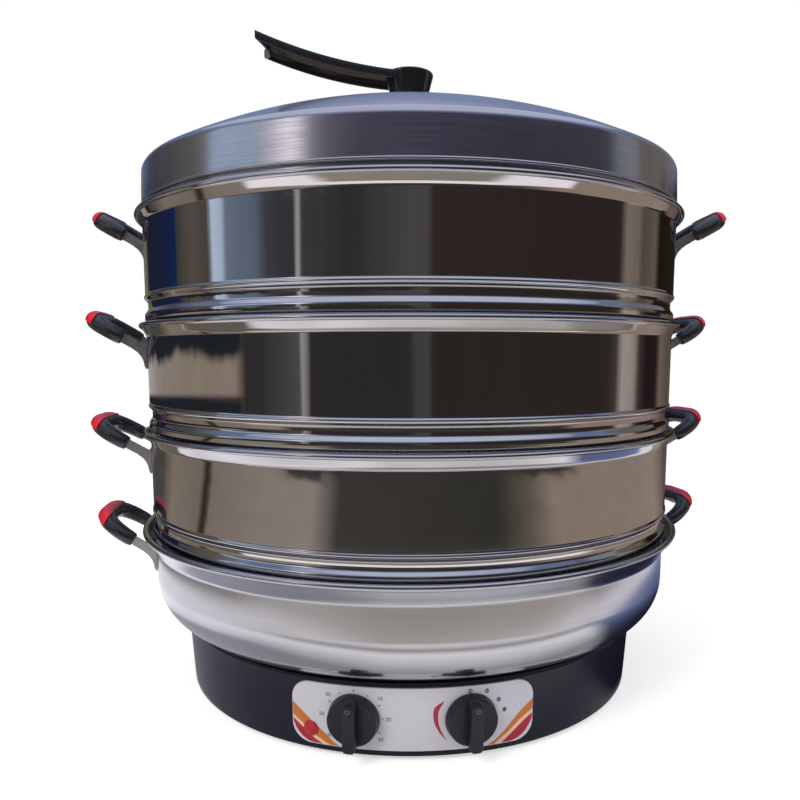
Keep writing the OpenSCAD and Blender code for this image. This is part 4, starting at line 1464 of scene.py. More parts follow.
@dataclass
class Knob:
    """A knob with a round skirt and a bar grip.

    Attributes:
        name: name of the control, as in the CAD nodes.
        wall: the base's wall.
        deg: its angle from the front.
        z: its height.
    """

    name: str
    wall: Wall
    deg: float
    z: float = 28.5
    stand_off: float = 1.8
    radius: float = 16.5
    draft: float = 1.0
    skirt_h: float = 7.0
    skirt_wall: float = 2.0
    skirt_foot: Point = (0.4, 0.5)
    floor_t: float = 2.4
    bar_w: float = 8.0
    bar_h: float = 8.0
    bar_inset: float = 0.4
    bar_sunk: float = 1.5
    bar_corner: float = 2.6
    bar_edge: float = 0.8
    edge: float = 0.9
    edge_steps: int = 4
    sides: int = 96
    dimple_r: float = 1.5
    dimple_in: float = 3.6
    dot_rim: tuple[Point, ...] = ((0.0, 0.05), (0.25, 0.12), (0.55, 0.0))
    dot_dip: float = 0.05
    dot_foot: float = 0.4
    dot_sides: int = 32

    def build(self) -> int:
        """Builds the knob with the lighter grey ring round the hollow of its pointer.

        Returns:
            The number of pieces made.
        """
        place = self.wall.place(self.deg, self.z) @ Matrix.Translation((0, 0, self.stand_off))
        r, h = self.radius, self.skirt_h
        foot_in, foot_h = self.skirt_foot
        side = [(r - foot_in, 0.0), (r, foot_h), (r - self.draft, h), (0.0, h)]
        side = softened(side, self.edge, self.edge_steps)
        inner_r, floor = r - self.skirt_wall, h - self.floor_t
        hollow = [(0.0, floor), (inner_r, floor), (inner_r, 0.0)]
        skirt = turned(f"{self.name}_skirt", hollow + side, KNOB_NYLON, place, self.sides)
        length, top = 2 * (r - self.draft / 2 - self.bar_inset), h + self.bar_h
        plan = rounded_plan(self.bar_w, length, self.bar_corner)
        bar = raised(f"{self.name}_bar", plan, h - self.bar_sunk, top, KNOB_NYLON, place)
        bar = bevelled(bar, self.bar_edge, over_deg=BEVELLED_CREASE_DEG)
        made = joined(f"{self.name}_moulding", [skirt, bar])
        # The pointer's lighter grey ring: a low ring round a shallow hollow, with its foot sunk in the bar
        foot, dimple = -self.dot_foot, self.dimple_r
        rim = [*((dimple - inset, z) for inset, z in self.dot_rim), (0.0, -self.dot_dip)]
        dot = turned(
            f"{self.name}_pointer",
            [(0.0, foot), (dimple, foot), *rim],
            POINTER_RING_GREY,
            place @ Matrix.Translation((0, length / 2 - self.dimple_in, top)),
            self.dot_sides,
        )
        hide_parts(f"{self.name}_knob")
        body = f"{self.name}_control"
        for part in (made, dot):
            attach(part, body)
        return 2


@dataclass(frozen=True)
class InkPatch:
    """One flat printed shape on the control panel.

    Attributes:
        name: name of the piece.
        ink: its ink.
        corners: angle from the front, in degrees, and height, in millimetres, of each corner.
        layer: how many layers of ink lie under it.
    """

    name: str
    ink: Finish
    corners: Sequence[Point]
    layer: int = 0


# Angles from the front: the two controls, and the panel's ends
TIMER_DEG, THERMOSTAT_DEG = -13.3, 10.1
LEFT_EDGE, RIGHT_EDGE = -26.8, 24.0
STRIPES = (
    InkPatch(
        "left_orange_band",
        ORANGE_INK,
        ((LEFT_EDGE, 33.8), (LEFT_EDGE, 24.6), (-24.1, 18.2), (-21.7, 12.4), (-19.6, 9.2), (-18.6, 8.0),
         (-16.6, 8.0), (-17.8, 10.2), (-19.2, 14.3), (-20.7, 18.2), (-22.6, 23.1), (-24.5, 27.9)),
    ),
    InkPatch(
        "left_cream_line",
        CREAM_INK,
        ((LEFT_EDGE, 24.9), (LEFT_EDGE, 22.6), (-24.3, 16.6), (-22.0, 11.0), (-20.2, 8.1), (-18.6, 8.0),
         (-19.6, 9.6), (-21.5, 12.8), (-24.0, 18.6)),
        1,
    ),
    InkPatch(
        "left_red_field",
        RED_INK,
        ((LEFT_EDGE, 22.8), (LEFT_EDGE, 20.5), (-26.2, 16.0), (-25.4, 12.8), (-24.6, 10.6), (-23.4, 8.6),
         (-21.8, 8.0), (-20.1, 8.0), (-21.9, 11.2), (-24.2, 16.8)),
    ),
    InkPatch(
        "right_orange_band",
        ORANGE_INK,
        ((RIGHT_EDGE, 34.6), (21.1, 27.5), (19.4, 22.2), (17.6, 16.0), (15.6, 10.6), (14.0, 8.0),
         (15.6, 8.0), (16.6, 10.6), (18.6, 14.6), (21.2, 21.4), (RIGHT_EDGE, 27.4)),
    ),
    InkPatch(
        "right_cream_line",
        CREAM_INK,
        ((RIGHT_EDGE, 27.6), (21.0, 21.6), (18.4, 14.8), (16.4, 10.6), (15.4, 8.0), (17.0, 8.0),
         (17.6, 9.6), (19.2, 13.6), (21.6, 19.8), (RIGHT_EDGE, 24.8)),
        1,
    ),
    InkPatch(
        "right_red_field",
        RED_INK,
        ((RIGHT_EDGE, 25.0), (21.5, 20.0), (19.1, 13.8), (17.5, 9.8), (16.8, 8.0), (18.8, 8.0),
         (20.2, 8.8), (21.4, 10.4), (22.6, 13.4), (23.4, 17.0), (RIGHT_EDGE, 20.8)),
    ),
    InkPatch(
        "heat_arrow",
        RED_INK,
        ((4.7, 40.4), (3.6, 38.6), (2.7, 36.0), (2.5, 32.6), (2.6, 28.4), (3.0, 24.0), (3.8, 19.4),
         (5.4, 13.4), (4.3, 19.6), (3.7, 24.2), (3.5, 28.6), (3.5, 32.6), (3.8, 35.6), (4.3, 38.0)),
    ),
)
# Angle and height of the round marks at the thermostat, from its lowest setting up
HEAT_MARKS = ((9.9, 45.9), (13.4, 44.9), (16.0, 38.1), (17.4, 30.6))
# Turns at which the timer's tens stand
TIMER_TENS_DEG = (50, 90, 130, 230, 270, 310)


@dataclass
class PanelArt:
    """The plain print on the control panel, as thin ink on its curved face.

    Places are the angle from the front, in degrees, and the height, in millimetres.
    """

    wall: Wall
    face_gap: float = 1.3
    ink_gap: float = 0.02
    ink_t: float = 0.07
    facet_deg: float = 1.4
    facet_cuts: int = 4
    knob_z: float = 28.5
    tick_inner: float = 17.3
    tick_outer: Point = (18.9, 18.2)
    tick_w: float = 0.6
    tick_range: Point = (9.0, 48.4)
    tick_turns_deg: tuple[int, int, int] = (-30, 271, 30)
    scale_deg: int = -30
    number_r: float = 21.4
    number_h: float = 2.5
    digit_share: float = 0.7
    digit_steps: int = 3
    weld: float = 1e-4
    ring_r: float = 1.5
    ring_w: float = 0.45
    ring_steps: int = 10
    dot_r: Point = (0.2, 0.17)
    dot_w: Point = (0.1, 0.15)
    body: str = "base"

    def on_face(self, deg: float, z: float, lift: float) -> Vector:
        """Gives a point on the panel's face."""
        r, turn = self.wall.radius(z) + self.face_gap + lift, math.radians(deg)
        return Vector((r * math.sin(turn), -r * math.cos(turn), z))

    def deg_per_mm(self, z: float) -> float:
        """Gives the angle that one millimetre across the panel takes at a height."""
        return math.degrees(1 / (self.wall.radius(z) + self.face_gap))

    def print_patch(self, patch: InkPatch) -> int:
        """Lays one flat shape of ink on the panel.

        Args:
            patch: the shape.

        Returns:
            The number of pieces made.
        """
        work = bmesh.new()
        work.faces.new([work.verts.new((deg, z, 0.0)) for deg, z in patch.corners])
        bmesh.ops.triangulate(work, faces=work.faces)
        for _ in range(self.facet_cuts):
            long = [e for e in work.edges if abs(e.verts[0].co.x - e.verts[1].co.x) > self.facet_deg]
            if long:
                bmesh.ops.subdivide_edges(work, edges=long, cuts=1)
                bmesh.ops.triangulate(work, faces=work.faces)
        work.verts.index_update()
        lift = self.ink_gap + patch.layer * self.ink_t
        flat = [(v.co.x, v.co.y) for v in work.verts]
        count = len(flat)
        points = [self.on_face(deg, z, lift + self.ink_t * up) for up in (1, 0) for deg, z in flat]
        faces = [[v.index for v in f.verts] for f in work.faces]
        faces += [[count + i for i in reversed(f)] for f in faces]
        for edge in work.edges:
            if edge.is_boundary:
                a, b = (v.index for v in edge.verts)
                faces.append([a, b, count + b, count + a])
        work.free()
        made = piece(patch.name, points, faces, patch.ink)
        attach(made, self.body)
        return 1

    def number(self, text: str, deg: float, z: float) -> int:
        """Prints a plain number, upright on the panel.

        Args:
            text: its digits.
            deg: angle of its middle.
            z: height of its middle.

        Returns:
            The number of pieces made.
        """
        letters = bpy.data.curves.new("digits", "FONT")
        letters.body, letters.size = text, self.number_h / self.digit_share
        letters.align_x, letters.align_y = "CENTER", "CENTER"
        letters.resolution_u, letters.extrude = self.digit_steps, self.ink_t / 2
        flat = bpy.data.objects.new("digits", letters)
        work = bmesh.new()
        work.from_mesh(flat.to_mesh())
        bmesh.ops.remove_doubles(work, verts=work.verts, dist=self.weld)
        work.verts.index_update()
        middle, mm_to_deg = self.ink_gap + self.ink_t / 2, self.deg_per_mm(z)
        points = [self.on_face(deg + v.co.x * mm_to_deg, z + v.co.y, middle + v.co.z) for v in work.verts]
        faces = [[v.index for v in f.verts] for f in work.faces]
        work.free()
        flat.to_mesh_clear()
        bpy.data.objects.remove(flat)
        made = piece(f"timer_number_{text}", points, faces, GREY_INK)
        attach(made, self.body)
        return 1

    def ring(self, name: str, deg: float, z: float, outer: float, width: float) -> int:
        """Prints a round mark as two half rings.

        Args:
            name: name of its pieces.
            deg: angle of its middle.
            z: height of its middle.
            outer: its outer radius, in millimetres.
            width: width of its line.

        Returns:
            The number of pieces made.
        """
        mm_to_deg = self.deg_per_mm(z)
        count = 0
        for half, start in (("a", 0), ("b", 180)):
            loop = arc((0.0, 0.0), outer, start, start + 180, self.ring_steps)
            loop += arc((0.0, 0.0), outer - width, start + 180, start, self.ring_steps)
            corners = [(deg + x * mm_to_deg, z + y) for x, y in loop]
            count += self.print_patch(InkPatch(f"{name}_{half}", GREY_INK, corners))
        return count

    def ticks(self) -> int:
        """Prints the ticks of the timer's scale, as far as the panel reaches.

        Returns:
            The number of pieces made.
        """
        low, high = self.tick_range
        mm_to_deg, half_w = self.deg_per_mm(self.knob_z), self.tick_w / 2
        count = 0
        for i, turn in enumerate(range(*self.tick_turns_deg)):
            t = math.radians(90 - turn - self.scale_deg)
            out = Vector((math.cos(t), math.sin(t)))
            inner, outer = out * self.tick_inner, out * self.tick_outer[i % 2]
            if low < self.knob_z + outer.y < high:
                side = Vector((-out.y, out.x)) * half_w
                loop = (inner - side, outer - side, outer + side, inner + side)
                corners = [(TIMER_DEG + p.x * mm_to_deg, self.knob_z + p.y) for p in loop]
                count += self.print_patch(InkPatch(f"timer_tick_{i}", GREY_INK, corners))
        return count

    def build(self) -> int:
        """Prints the stripes, the scale round the timer and the marks at the thermostat.

        Returns:
            The number of pieces made.
        """
        count = sum(self.print_patch(stripe) for stripe in STRIPES) + self.ticks()
        mm_to_deg = self.deg_per_mm(self.knob_z)
        for i, turn in enumerate(TIMER_TENS_DEG, 1):
            t = math.radians(90 - turn)
            x, y = self.number_r * math.cos(t), self.number_r * math.sin(t)
            count += self.number(str(10 * i), TIMER_DEG + x * mm_to_deg, self.knob_z + y)
        for i, (deg, z) in enumerate(HEAT_MARKS, 1):
            count += self.ring(f"heat_mark_{i}", deg, z, self.ring_r, self.ring_w)
            # The dots in the marks grow with the heat
            dot_r, dot_w = (start + growth * i for start, growth in (self.dot_r, self.dot_w))
            count += self.ring(f"heat_dot_{i}", deg, z, dot_r, dot_w)
        return count


@dataclass
class PilotLamp:
    """The round red lens of the pilot lamp."""

    wall: Wall
    deg: float = -22.7
    z: float = 17.75
    lens_r: float = 5.0
    stem_r: float = 4.0
    stem_l: float = 1.0
    stand_off: float = 1.4
    rim: tuple[Point, ...] = ((0.0, 0.0), (0.0, 0.5), (0.25, 0.75), (0.7, 0.7), (0.9, 0.75))
    rise: float = 1.8
    dome_steps: int = 8
    sides: int = 48
    body: str = "base"

    def build(self) -> int:
        """Builds the lens as a low dome on a rim.

        Returns:
            The number of pieces made.
        """
        rim = [(self.lens_r - inset, z) for inset, z in self.rim]
        dome_r, rim_h = rim[-1]
        turns = (math.radians(90 * i / self.dome_steps) for i in range(1, self.dome_steps + 1))
        dome = [(dome_r * math.cos(t), rim_h + (self.rise - rim_h) * math.sin(t)) for t in turns]
        outline = [(0.0, -self.stem_l), (self.stem_r, -self.stem_l), (self.stem_r, 0.0), *rim, *dome]
        place = self.wall.place(self.deg, self.z) @ Matrix.Translation((0, 0, self.stand_off))
        made = turned("pilot_lamp_dome", outline, LAMP_ACRYLIC, place, self.sides)
        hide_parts("pilot_lamp_lens")
        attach(made, self.body)
        return 1


# ---- Studio


def share_of(deg: float) -> float:
    """Turns a direction in degrees into its share of the whole round, 0.5 at the camera's side."""
    return deg / 360 + 0.5


@dataclass(frozen=True)
class Surround:
    """Painted reflections that polished steel shows round the object, by direction.

    Attributes:
        stops: degrees from the camera's side, to the right, and the colour there.
        top_z: height where it gives way to the next layer.
    """

    stops: tuple[tuple[float, str], ...]
    top_z: float = 0.0

    def ramp(self) -> list[tuple[float, str]]:
        """Gives the stops by their share of the whole round."""
        return [(share_of(deg), colour) for deg, colour in self.stops]


# Painted reflections by direction for the lid, the top tier, the middle tier and the lowest tier; the narrow
# pale stops near -47, -41 and -39 degrees are painted highlights
LID_VIEW = Surround(
    (
        (-180, "#5d7098"), (-150, "#5d7098"), (-128, "#403f45"), (-108, "#464648"), (-90, "#56554f"),
        (-82, "#62635f"), (-80, "#93a4b8"), (-60, "#93a3b4"), (-54, "#a6aab6"), (-47, "#e4dfe4"),
        (-42, "#f0ecee"), (-36, "#77747c"), (-28, "#55525a"), (-16, "#3f3c46"), (8, "#373440"),
        (40, "#302f36"), (62, "#35333b"), (84, "#3c3b44"), (88, "#6d747c"), (100, "#757a82"),
        (103, "#59574f"), (124, "#63605e"), (150, "#5f6575"), (180, "#5d7098"),
    ),
    1750,
)
TOP_TIER_VIEW = Surround(
    (
        (-180, "#55543f"), (-140, "#5c5b49"), (-136, "#191c2b"), (-118, "#181d30"), (-104, "#14224a"),
        (-102.5, "#3a3a35"), (-92, "#544d46"), (-82, "#44403b"), (-80.5, "#a9b9cc"), (-75, "#a3b3c6"),
        (-73, "#647082"), (-59, "#566070"), (-54, "#3a3b42"), (-42, "#2f2f30"), (-41.4, "#9c9a9d"),
        (-40.6, "#9c9a9d"), (-39.8, "#3a3a3a"), (-20, "#2c2b2c"), (1.5, "#464543"), (8, "#464543"),
        (10, "#2e2724"), (86, "#2a2221"), (91, "#2e2624"), (94, "#736a60"), (103, "#675f56"),
        (106, "#4b443b"), (117, "#5a5247"), (121, "#1a160e"), (150, "#1c1910"), (180, "#55543f"),
    ),
    900,
)
MIDDLE_TIER_VIEW = Surround(
    (
        (-180, "#3a3533"), (-150, "#8e8a88"), (-118, "#817870"), (-90, "#85796c"), (-70, "#86796f"),
        (-65, "#302d2c"), (-58, "#2b2b2d"), (-40, "#4a494a"), (-38.8, "#b3afae"), (-37.6, "#2a2928"),
        (2, "#2a2928"), (3, "#403f3d"), (9, "#403f3d"), (10, "#2b2523"), (84, "#2a2522"), (90, "#3d3733"),
        (94, "#988f89"), (102, "#8b827b"), (106, "#3a3030"), (112, "#201517"), (122, "#241819"),
        (128, "#62544e"), (140, "#4a413d"), (180, "#3a3533"),
    ),
    420,
)
LOW_TIER_VIEW = Surround(
    (
        (-180, "#5a4c45"), (-140, "#3d3b39"), (-120, "#42403c"), (-108, "#776e63"), (-86.5, "#70675e"),
        (-85, "#332b24"), (-82, "#332b24"), (-80.5, "#756c62"), (-60, "#80776d"), (-34, "#857e75"),
        (-24, "#3a3735"), (33, "#31302c"), (46, "#5a564c"), (56, "#85776b"), (100, "#85776c"),
        (118, "#83776d"), (138, "#4a3f40"), (180, "#5a4c45"),
    )
)
# Painted reflection of the ground by its distance in metres, at the left, in front and at the right; its pale
# inner ring at the left paints light on the base's left side and its dark one at the right paints shade on
# its right side
NEAR_LEFT = (
    (0.176, "#8c8c98"), (0.20, "#c9c9d2"), (0.27, "#dddce4"), (0.32, "#c9c7cf"), (0.37, "#d6d4da"),
    (0.385, "#cac8cd"), (0.398, "#5f5a53"), (0.56, "#5d584f"), (0.60, "#6b655a"), (0.62, "#a59c8c"),
    (0.67, "#8a8174"),
)
NEAR_FRONT = (
    (0.176, "#7d7d84"), (0.22, "#b4b4b8"), (0.27, "#d8d7d9"), (0.29, "#bdbabd"), (0.303, "#827f85"),
    (0.32, "#827f85"), (0.336, "#bdbabd"), (0.36, "#d2d1d2"), (0.382, "#cbc9ca"), (0.40, "#a29e9a"),
    (0.46, "#8d8882"), (0.53, "#857f75"), (0.60, "#7a7469"), (0.67, "#857f77"),
)
NEAR_RIGHT = (
    (0.176, "#14151f"), (0.22, "#1c1e2c"), (0.27, "#363d57"), (0.32, "#4d5777"), (0.36, "#5f6b8d"),
    (0.383, "#6f7a9a"), (0.395, "#cbc8cf"), (0.45, "#ceccd2"), (0.465, "#8b8680"), (0.56, "#77716a"),
    (0.60, "#6b655a"), (0.62, "#a59c8c"), (0.67, "#8a8174"),
)
Colour = bpy.types.NodeSocket | tuple[float, float, float, float]
# Colours of painted reflections: a dusky band, sky, zenith, a pale kerb and the dark far ground
DUSK = linear("#1c2025")
SKY = linear("#606d8c")
ZENITH = linear("#aab1c4")
KERB = linear("#e4dee2")
FAR_GROUND = linear("#353332")
WHITE = linear("#ffffff")
# Directions in degrees between which one colour gives way to the next
BANK_END, KERB_LEFT, KERB_RIGHT = (-68, -63), (-62, -58), (64, 72)
FRONT_LEFT, FRONT_RIGHT, BEHIND = (-62, -34), (57, 66), (115, 175)
DARK_LEFT, DARK_RIGHT = (-50, -44), (62, 70)
# Two directions, the distance in metres and the lateness of each swerve of the ground's edges
LEFT_SWERVE, RIGHT_SWERVE, OFF_RIGHT_SWERVE = (-5, -45, 0.075, 1.0), (10, 80, 0.14, 2.5), (68, 120, 0.11, 1.0)
# Heights and distances in metres between which one colour gives way to the next
BANK_FOOT, BANK_TOP, SKY_END = (0.085, 0.105), (0.29, 0.33), (2.45, 2.75)
INNER_END, KERB_START, NEAR_END, FAR_START = (0.570, 0.575), (0.575, 0.590), (0.69, 0.705), (1.52, 1.62)


@dataclass(frozen=True)
class Card:
    """The glowing material of a card that paints reflections, and the values that place its colours.

    Attributes:
        material: the material.
        place: the card's own coordinates, in metres.
        share: the direction, from 0 behind the object to 1 behind it again.
        radius: distance from the axis, in metres.
        height: height above the floor, in metres.
        streak: slow noise that keeps edges from being straight.
        glow: the input that takes the colour.
    """

    material: bpy.types.Material
    place: bpy.types.NodeSocket
    share: bpy.types.NodeSocket
    radius: bpy.types.NodeSocket
    height: bpy.types.NodeSocket
    streak: bpy.types.NodeSocket
    glow: bpy.types.NodeSocket

    @property
    def tree(self) -> bpy.types.NodeTree:
        """The material's node tree."""
        return self.material.node_tree

    def blend(
        self, value: bpy.types.NodeSocket, low: float, high: float, below: Colour, above: Colour
    ) -> bpy.types.NodeSocket:
        """Passes from one colour to another while a value rises.

        Args:
            value: the value.
            low: where the second colour begins to show.
            high: where only the second colour shows.
            below: the first colour.
            above: the second colour.

        Returns:
            The mixed colour.
        """
        span = {"Value": value, "From Min": low, "From Max": high}
        fac = add_node(self.tree, "ShaderNodeMapRange", span).outputs[0]
        ends = {0: fac, 6: below, 7: above}
        return add_node(self.tree, "ShaderNodeMix", ends, data_type="RGBA").outputs[2]

    def across(self, from_deg: float, to_deg: float, left: Colour, right: Colour) -> bpy.types.NodeSocket:
        """Passes from one colour to another between two directions.

        Args:
            from_deg: where the second colour begins to show.
            to_deg: where only the second colour shows.
            left: the first colour.
            right: the second colour.

        Returns:
            The mixed colour.
        """
        return self.blend(self.share, share_of(from_deg), share_of(to_deg), left, right)

    def swerve(
        self, radius: bpy.types.NodeSocket, start_deg: float, end_deg: float, reach: float, power: float
    ) -> bpy.types.NodeSocket:
        """Shortens a distance towards one side, so that edges on the ground swerve away there.

        Args:
            radius: the distance.
            start_deg: where the swerve begins.
            end_deg: where it is complete.
            reach: how far it goes, in metres.
            power: how late it sets in.

        Returns:
            The new distance.
        """
        span = {"Value": self.share, "From Min": share_of(start_deg), "From Max": share_of(end_deg)}
        turn = add_node(self.tree, "ShaderNodeMapRange", span).outputs[0]
        late = add_node(self.tree, "ShaderNodeMath", {0: turn, 1: power}, operation="POWER").outputs[0]
        shorter = {0: late, 1: -reach, 2: radius}
        return add_node(self.tree, "ShaderNodeMath", shorter, operation="MULTIPLY_ADD").outputs[0]


@dataclass
class Studio:
    """Floor, glowing cards that paint the reflections of a room, lamps and world round the object.

    Attributes:
        steel_share: how much of a light the polished steel gives back, which the painted reflection cards
            make up for.
    """

    floor_r: float = 6000.0
    floor_glow: float = 0.53
    paper_tooth: float = 3.0
    room_r: float = 2600.0
    room_h: float = 2600.0
    room_top: float = 3400.0
    hatch_r: float = 1.0
    ground_from: float = 176.0
    ground_z: float = 0.6
    view_deg: float = -2.25
    steel_share: float = 0.62
    glow_levels: Point = (0.95, 1.05)
    streak_mm: float = 160.0
    streak_squash: tuple[float, float, float] = (1, 1, 0.2)
    waver: float = 0.006
    lump_mm: float = 420.0
    lump_rise: float = 0.14
    edge_rise: float = 0.25
    edge_soft: float = 0.03
    sky_soft: float = 0.3
    far_waver: float = 0.5
    paper: tuple[str, str] = ("#f4f4f5", "#efeff0")
    lamps_aim_z: float = 200.0
    room_light: float = 0.55

    def card(self, name: str) -> Card:
        """Makes the glowing material of a card that paints reflections, and the values that place its
        colours.

        Args:
            name: name of the material.

        Returns:
            The material and its values.
        """
        made = bpy.data.materials.new(name)
        made.use_nodes = True
        tree = made.node_tree
        tree.nodes.clear()
        place = add_node(tree, "ShaderNodeTexCoord").outputs["Object"]
        long = add_node(tree, "ShaderNodeVectorMath", {0: place, 1: self.streak_squash}, operation="MULTIPLY")
        cloud = {"Vector": long.outputs[0], "Scale": pattern_scale(self.streak_mm), "Detail": 3.0}
        streak = add_node(tree, "ShaderNodeTexNoise", cloud).outputs[0]
        apart = add_node(tree, "ShaderNodeSeparateXYZ", {"Vector": place})
        x, y, z = (apart.outputs[i] for i in range(3))
        back = add_node(tree, "ShaderNodeMath", {0: y, 1: -1.0}, operation="MULTIPLY").outputs[0]
        angle = add_node(tree, "ShaderNodeMath", {0: x, 1: back}, operation="ARCTAN2").outputs[0]
        turns = {0: angle, 1: 0.5 / math.pi, 2: 0.5}
        share = add_node(tree, "ShaderNodeMath", turns, operation="MULTIPLY_ADD").outputs[0]
        wavers = {0: streak, 1: self.waver, 2: share}
        share = add_node(tree, "ShaderNodeMath", wavers, operation="MULTIPLY_ADD").outputs[0]
        flat = add_node(tree, "ShaderNodeCombineXYZ", {"X": x, "Y": y}).outputs[0]
        radius = add_node(tree, "ShaderNodeVectorMath", {0: flat}, operation="LENGTH").outputs["Value"]
        dim, bright = (level / self.steel_share for level in self.glow_levels)
        ends = {"From Min": NOISE_LOW, "From Max": NOISE_HIGH, "To Min": dim, "To Max": bright}
        level = add_node(tree, "ShaderNodeMapRange", {"Value": streak, **ends}).outputs["Result"]
        glow = add_node(tree, "ShaderNodeEmission", {"Strength": level})
        add_node(tree, "ShaderNodeOutputMaterial", {"Surface": glow.outputs[0]})
        return Card(made, place, share, radius, z, streak, glow.inputs["Color"])

    def hang(self, name: str, outline: Sequence[Point], material: bpy.types.Material) -> None:
        """Hangs a turned card that only reflections see.

        Args:
            name: name of the card.
            outline: radius and height of its points, in millimetres.
            material: its material.
        """
        steps = 72
        turns = [2 * math.pi * i / steps for i in range(steps)]
        points = [(r * math.sin(turn), -r * math.cos(turn), z) for r, z in outline for turn in turns]
        mesh = bpy.data.meshes.new(name)
        mesh.from_pydata([Vector(p) * MM for p in points], [], bands(len(outline), steps))
        mesh.materials.append(material)
        made = bpy.data.objects.new(name, mesh)
        made.rotation_euler.z = math.radians(self.view_deg)
        bpy.context.scene.collection.objects.link(made)
        made.visible_camera = made.visible_diffuse = made.visible_shadow = made.visible_transmission = False

    def room(self) -> None:
        """Hangs the painted reflection of a room that the polished steel shows, layer upon layer."""
        card = self.card("painted_reflection_wall")
        tree = card.tree
        middle, top, lid = (
            add_node(tree, "ShaderNodeValToRGB", {"Fac": card.share}, view.ramp()).outputs["Color"]
            for view in (MIDDLE_TIER_VIEW, TOP_TIER_VIEW, LID_VIEW)
        )
        # Painted reflection left of the middle tier: a pale band between dusky ones, with a lumpy upper edge
        cloud = {"Vector": card.place, "Scale": pattern_scale(self.lump_mm), "Detail": 1.0}
        lump = add_node(tree, "ShaderNodeTexNoise", cloud).outputs[0]
        lumps = {0: lump, 1: self.lump_rise, 2: card.height}
        lumpy = add_node(tree, "ShaderNodeMath", lumps, operation="MULTIPLY_ADD").outputs[0]
        bank = card.blend(card.height, *BANK_FOOT, DUSK, middle)
        bank = card.blend(lumpy, *BANK_TOP, bank, DUSK)
        colour = card.across(*BANK_END, bank, middle)
        # Each layer starts along an uneven edge, which the streaks lift by half of edge_rise on average
        streaks = {0: card.streak, 1: self.edge_rise, 2: card.height}
        level = add_node(tree, "ShaderNodeMath", streaks, operation="MULTIPLY_ADD").outputs[0]
        for below, above, reach in (
            (MIDDLE_TIER_VIEW, top, self.edge_soft),
            (TOP_TIER_VIEW, lid, self.edge_soft),
            (LID_VIEW, SKY, self.sky_soft),
        ):
            edge = below.top_z * MM + self.edge_rise / 2
            colour = card.blend(level, edge - reach, edge + reach, colour, above)
        colour = card.blend(card.height, *SKY_END, colour, ZENITH)
        tree.links.new(colour, card.glow)
        outline = [(self.room_r, 0), (self.room_r, self.room_h), (self.hatch_r, self.room_top)]
        self.hang("painted_reflection_wall", outline, card.material)

    def ground(self) -> None:
        """Lays the painted reflection of the ground that the flares and the pot show, ring by ring."""
        card = self.card("painted_reflection_ground")
        tree = card.tree
        to_left = card.swerve(card.radius, *LEFT_SWERVE)
        to_right = card.swerve(to_left, *RIGHT_SWERVE)
        off_right = card.swerve(card.radius, *OFF_RIGHT_SWERVE)
        left, front, right = (
            add_node(tree, "ShaderNodeValToRGB", {"Fac": distance}, stops).outputs["Color"]
            for distance, stops in ((to_left, NEAR_LEFT), (to_right, NEAR_FRONT), (off_right, NEAR_RIGHT))
        )
        # The lowest flare shows the painted ground within 0.57 m, the upper ones a painted pale kerb beyond
        # it
        kerb = card.blend(card.radius, *KERB_START, front, KERB)
        outer = card.across(*KERB_RIGHT, card.across(*KERB_LEFT, left, kerb), right)
        inner = card.across(*FRONT_RIGHT, card.across(*FRONT_LEFT, left, front), right)
        near = card.blend(card.radius, *INNER_END, inner, outer)
        near = card.across(*BEHIND, near, left)
        view = LOW_TIER_VIEW.ramp()
        far = add_node(tree, "ShaderNodeValToRGB", {"Fac": card.share}, view).outputs["Color"]
        colour = card.blend(card.radius, *NEAR_END, near, far)
        # The painted far ground goes dark in front, along an uneven edge
        streaks = {0: card.streak, 1: self.far_waver, 2: card.radius}
        uneven = add_node(tree, "ShaderNodeMath", streaks, operation="MULTIPLY_ADD").outputs[0]
        dark = card.blend(uneven, *FAR_START, colour, FAR_GROUND)
        colour = card.across(*DARK_LEFT, colour, card.across(*DARK_RIGHT, dark, colour))
        tree.links.new(colour, card.glow)
        outline = [(self.ground_from, self.ground_z), (self.room_r, self.ground_z)]
        self.hang("painted_reflection_ground", outline, card.material)

    def floor(self) -> None:
        """Lays the pale floor, which keeps the object's shadow."""
        steps = 96
        points = [(*p, 0.0) for p in arc((0.0, 0.0), self.floor_r, 0, 360, steps)[:-1]]
        mesh = bpy.data.meshes.new("studio_floor")
        mesh.from_pydata([Vector(p) * MM for p in points], [], [list(range(steps))])
        made = bpy.data.objects.new("studio_floor", mesh)
        bpy.context.scene.collection.objects.link(made)
        material = bpy.data.materials.new("white_floor_paper")
        material.use_nodes = True
        tree = material.node_tree
        tree.nodes.clear()
        place = add_node(tree, "ShaderNodeTexCoord").outputs["Object"]
        fibre = {"Vector": place, "Scale": pattern_scale(self.paper_tooth), "Detail": 2.0}
        tooth = add_node(tree, "ShaderNodeTexNoise", fibre).outputs[0]
        white, pale = self.paper
        ends = {0: tooth, 6: linear(white), 7: linear(pale)}
        paper = add_node(tree, "ShaderNodeMix", ends, data_type="RGBA")
        dull = add_node(tree, "ShaderNodeBsdfDiffuse", {"Color": paper.outputs[2]})
        glow = add_node(tree, "ShaderNodeEmission", {"Color": WHITE, "Strength": self.floor_glow})
        both = add_node(tree, "ShaderNodeAddShader", {0: dull.outputs[0], 1: glow.outputs[0]})
        choice = {0: self.seen_by_eye(tree), 1: dull.outputs[0], 2: both.outputs[0]}
        mix = add_node(tree, "ShaderNodeMixShader", choice)
        add_node(tree, "ShaderNodeOutputMaterial", {"Surface": mix.outputs[0]})
        mesh.materials.append(material)

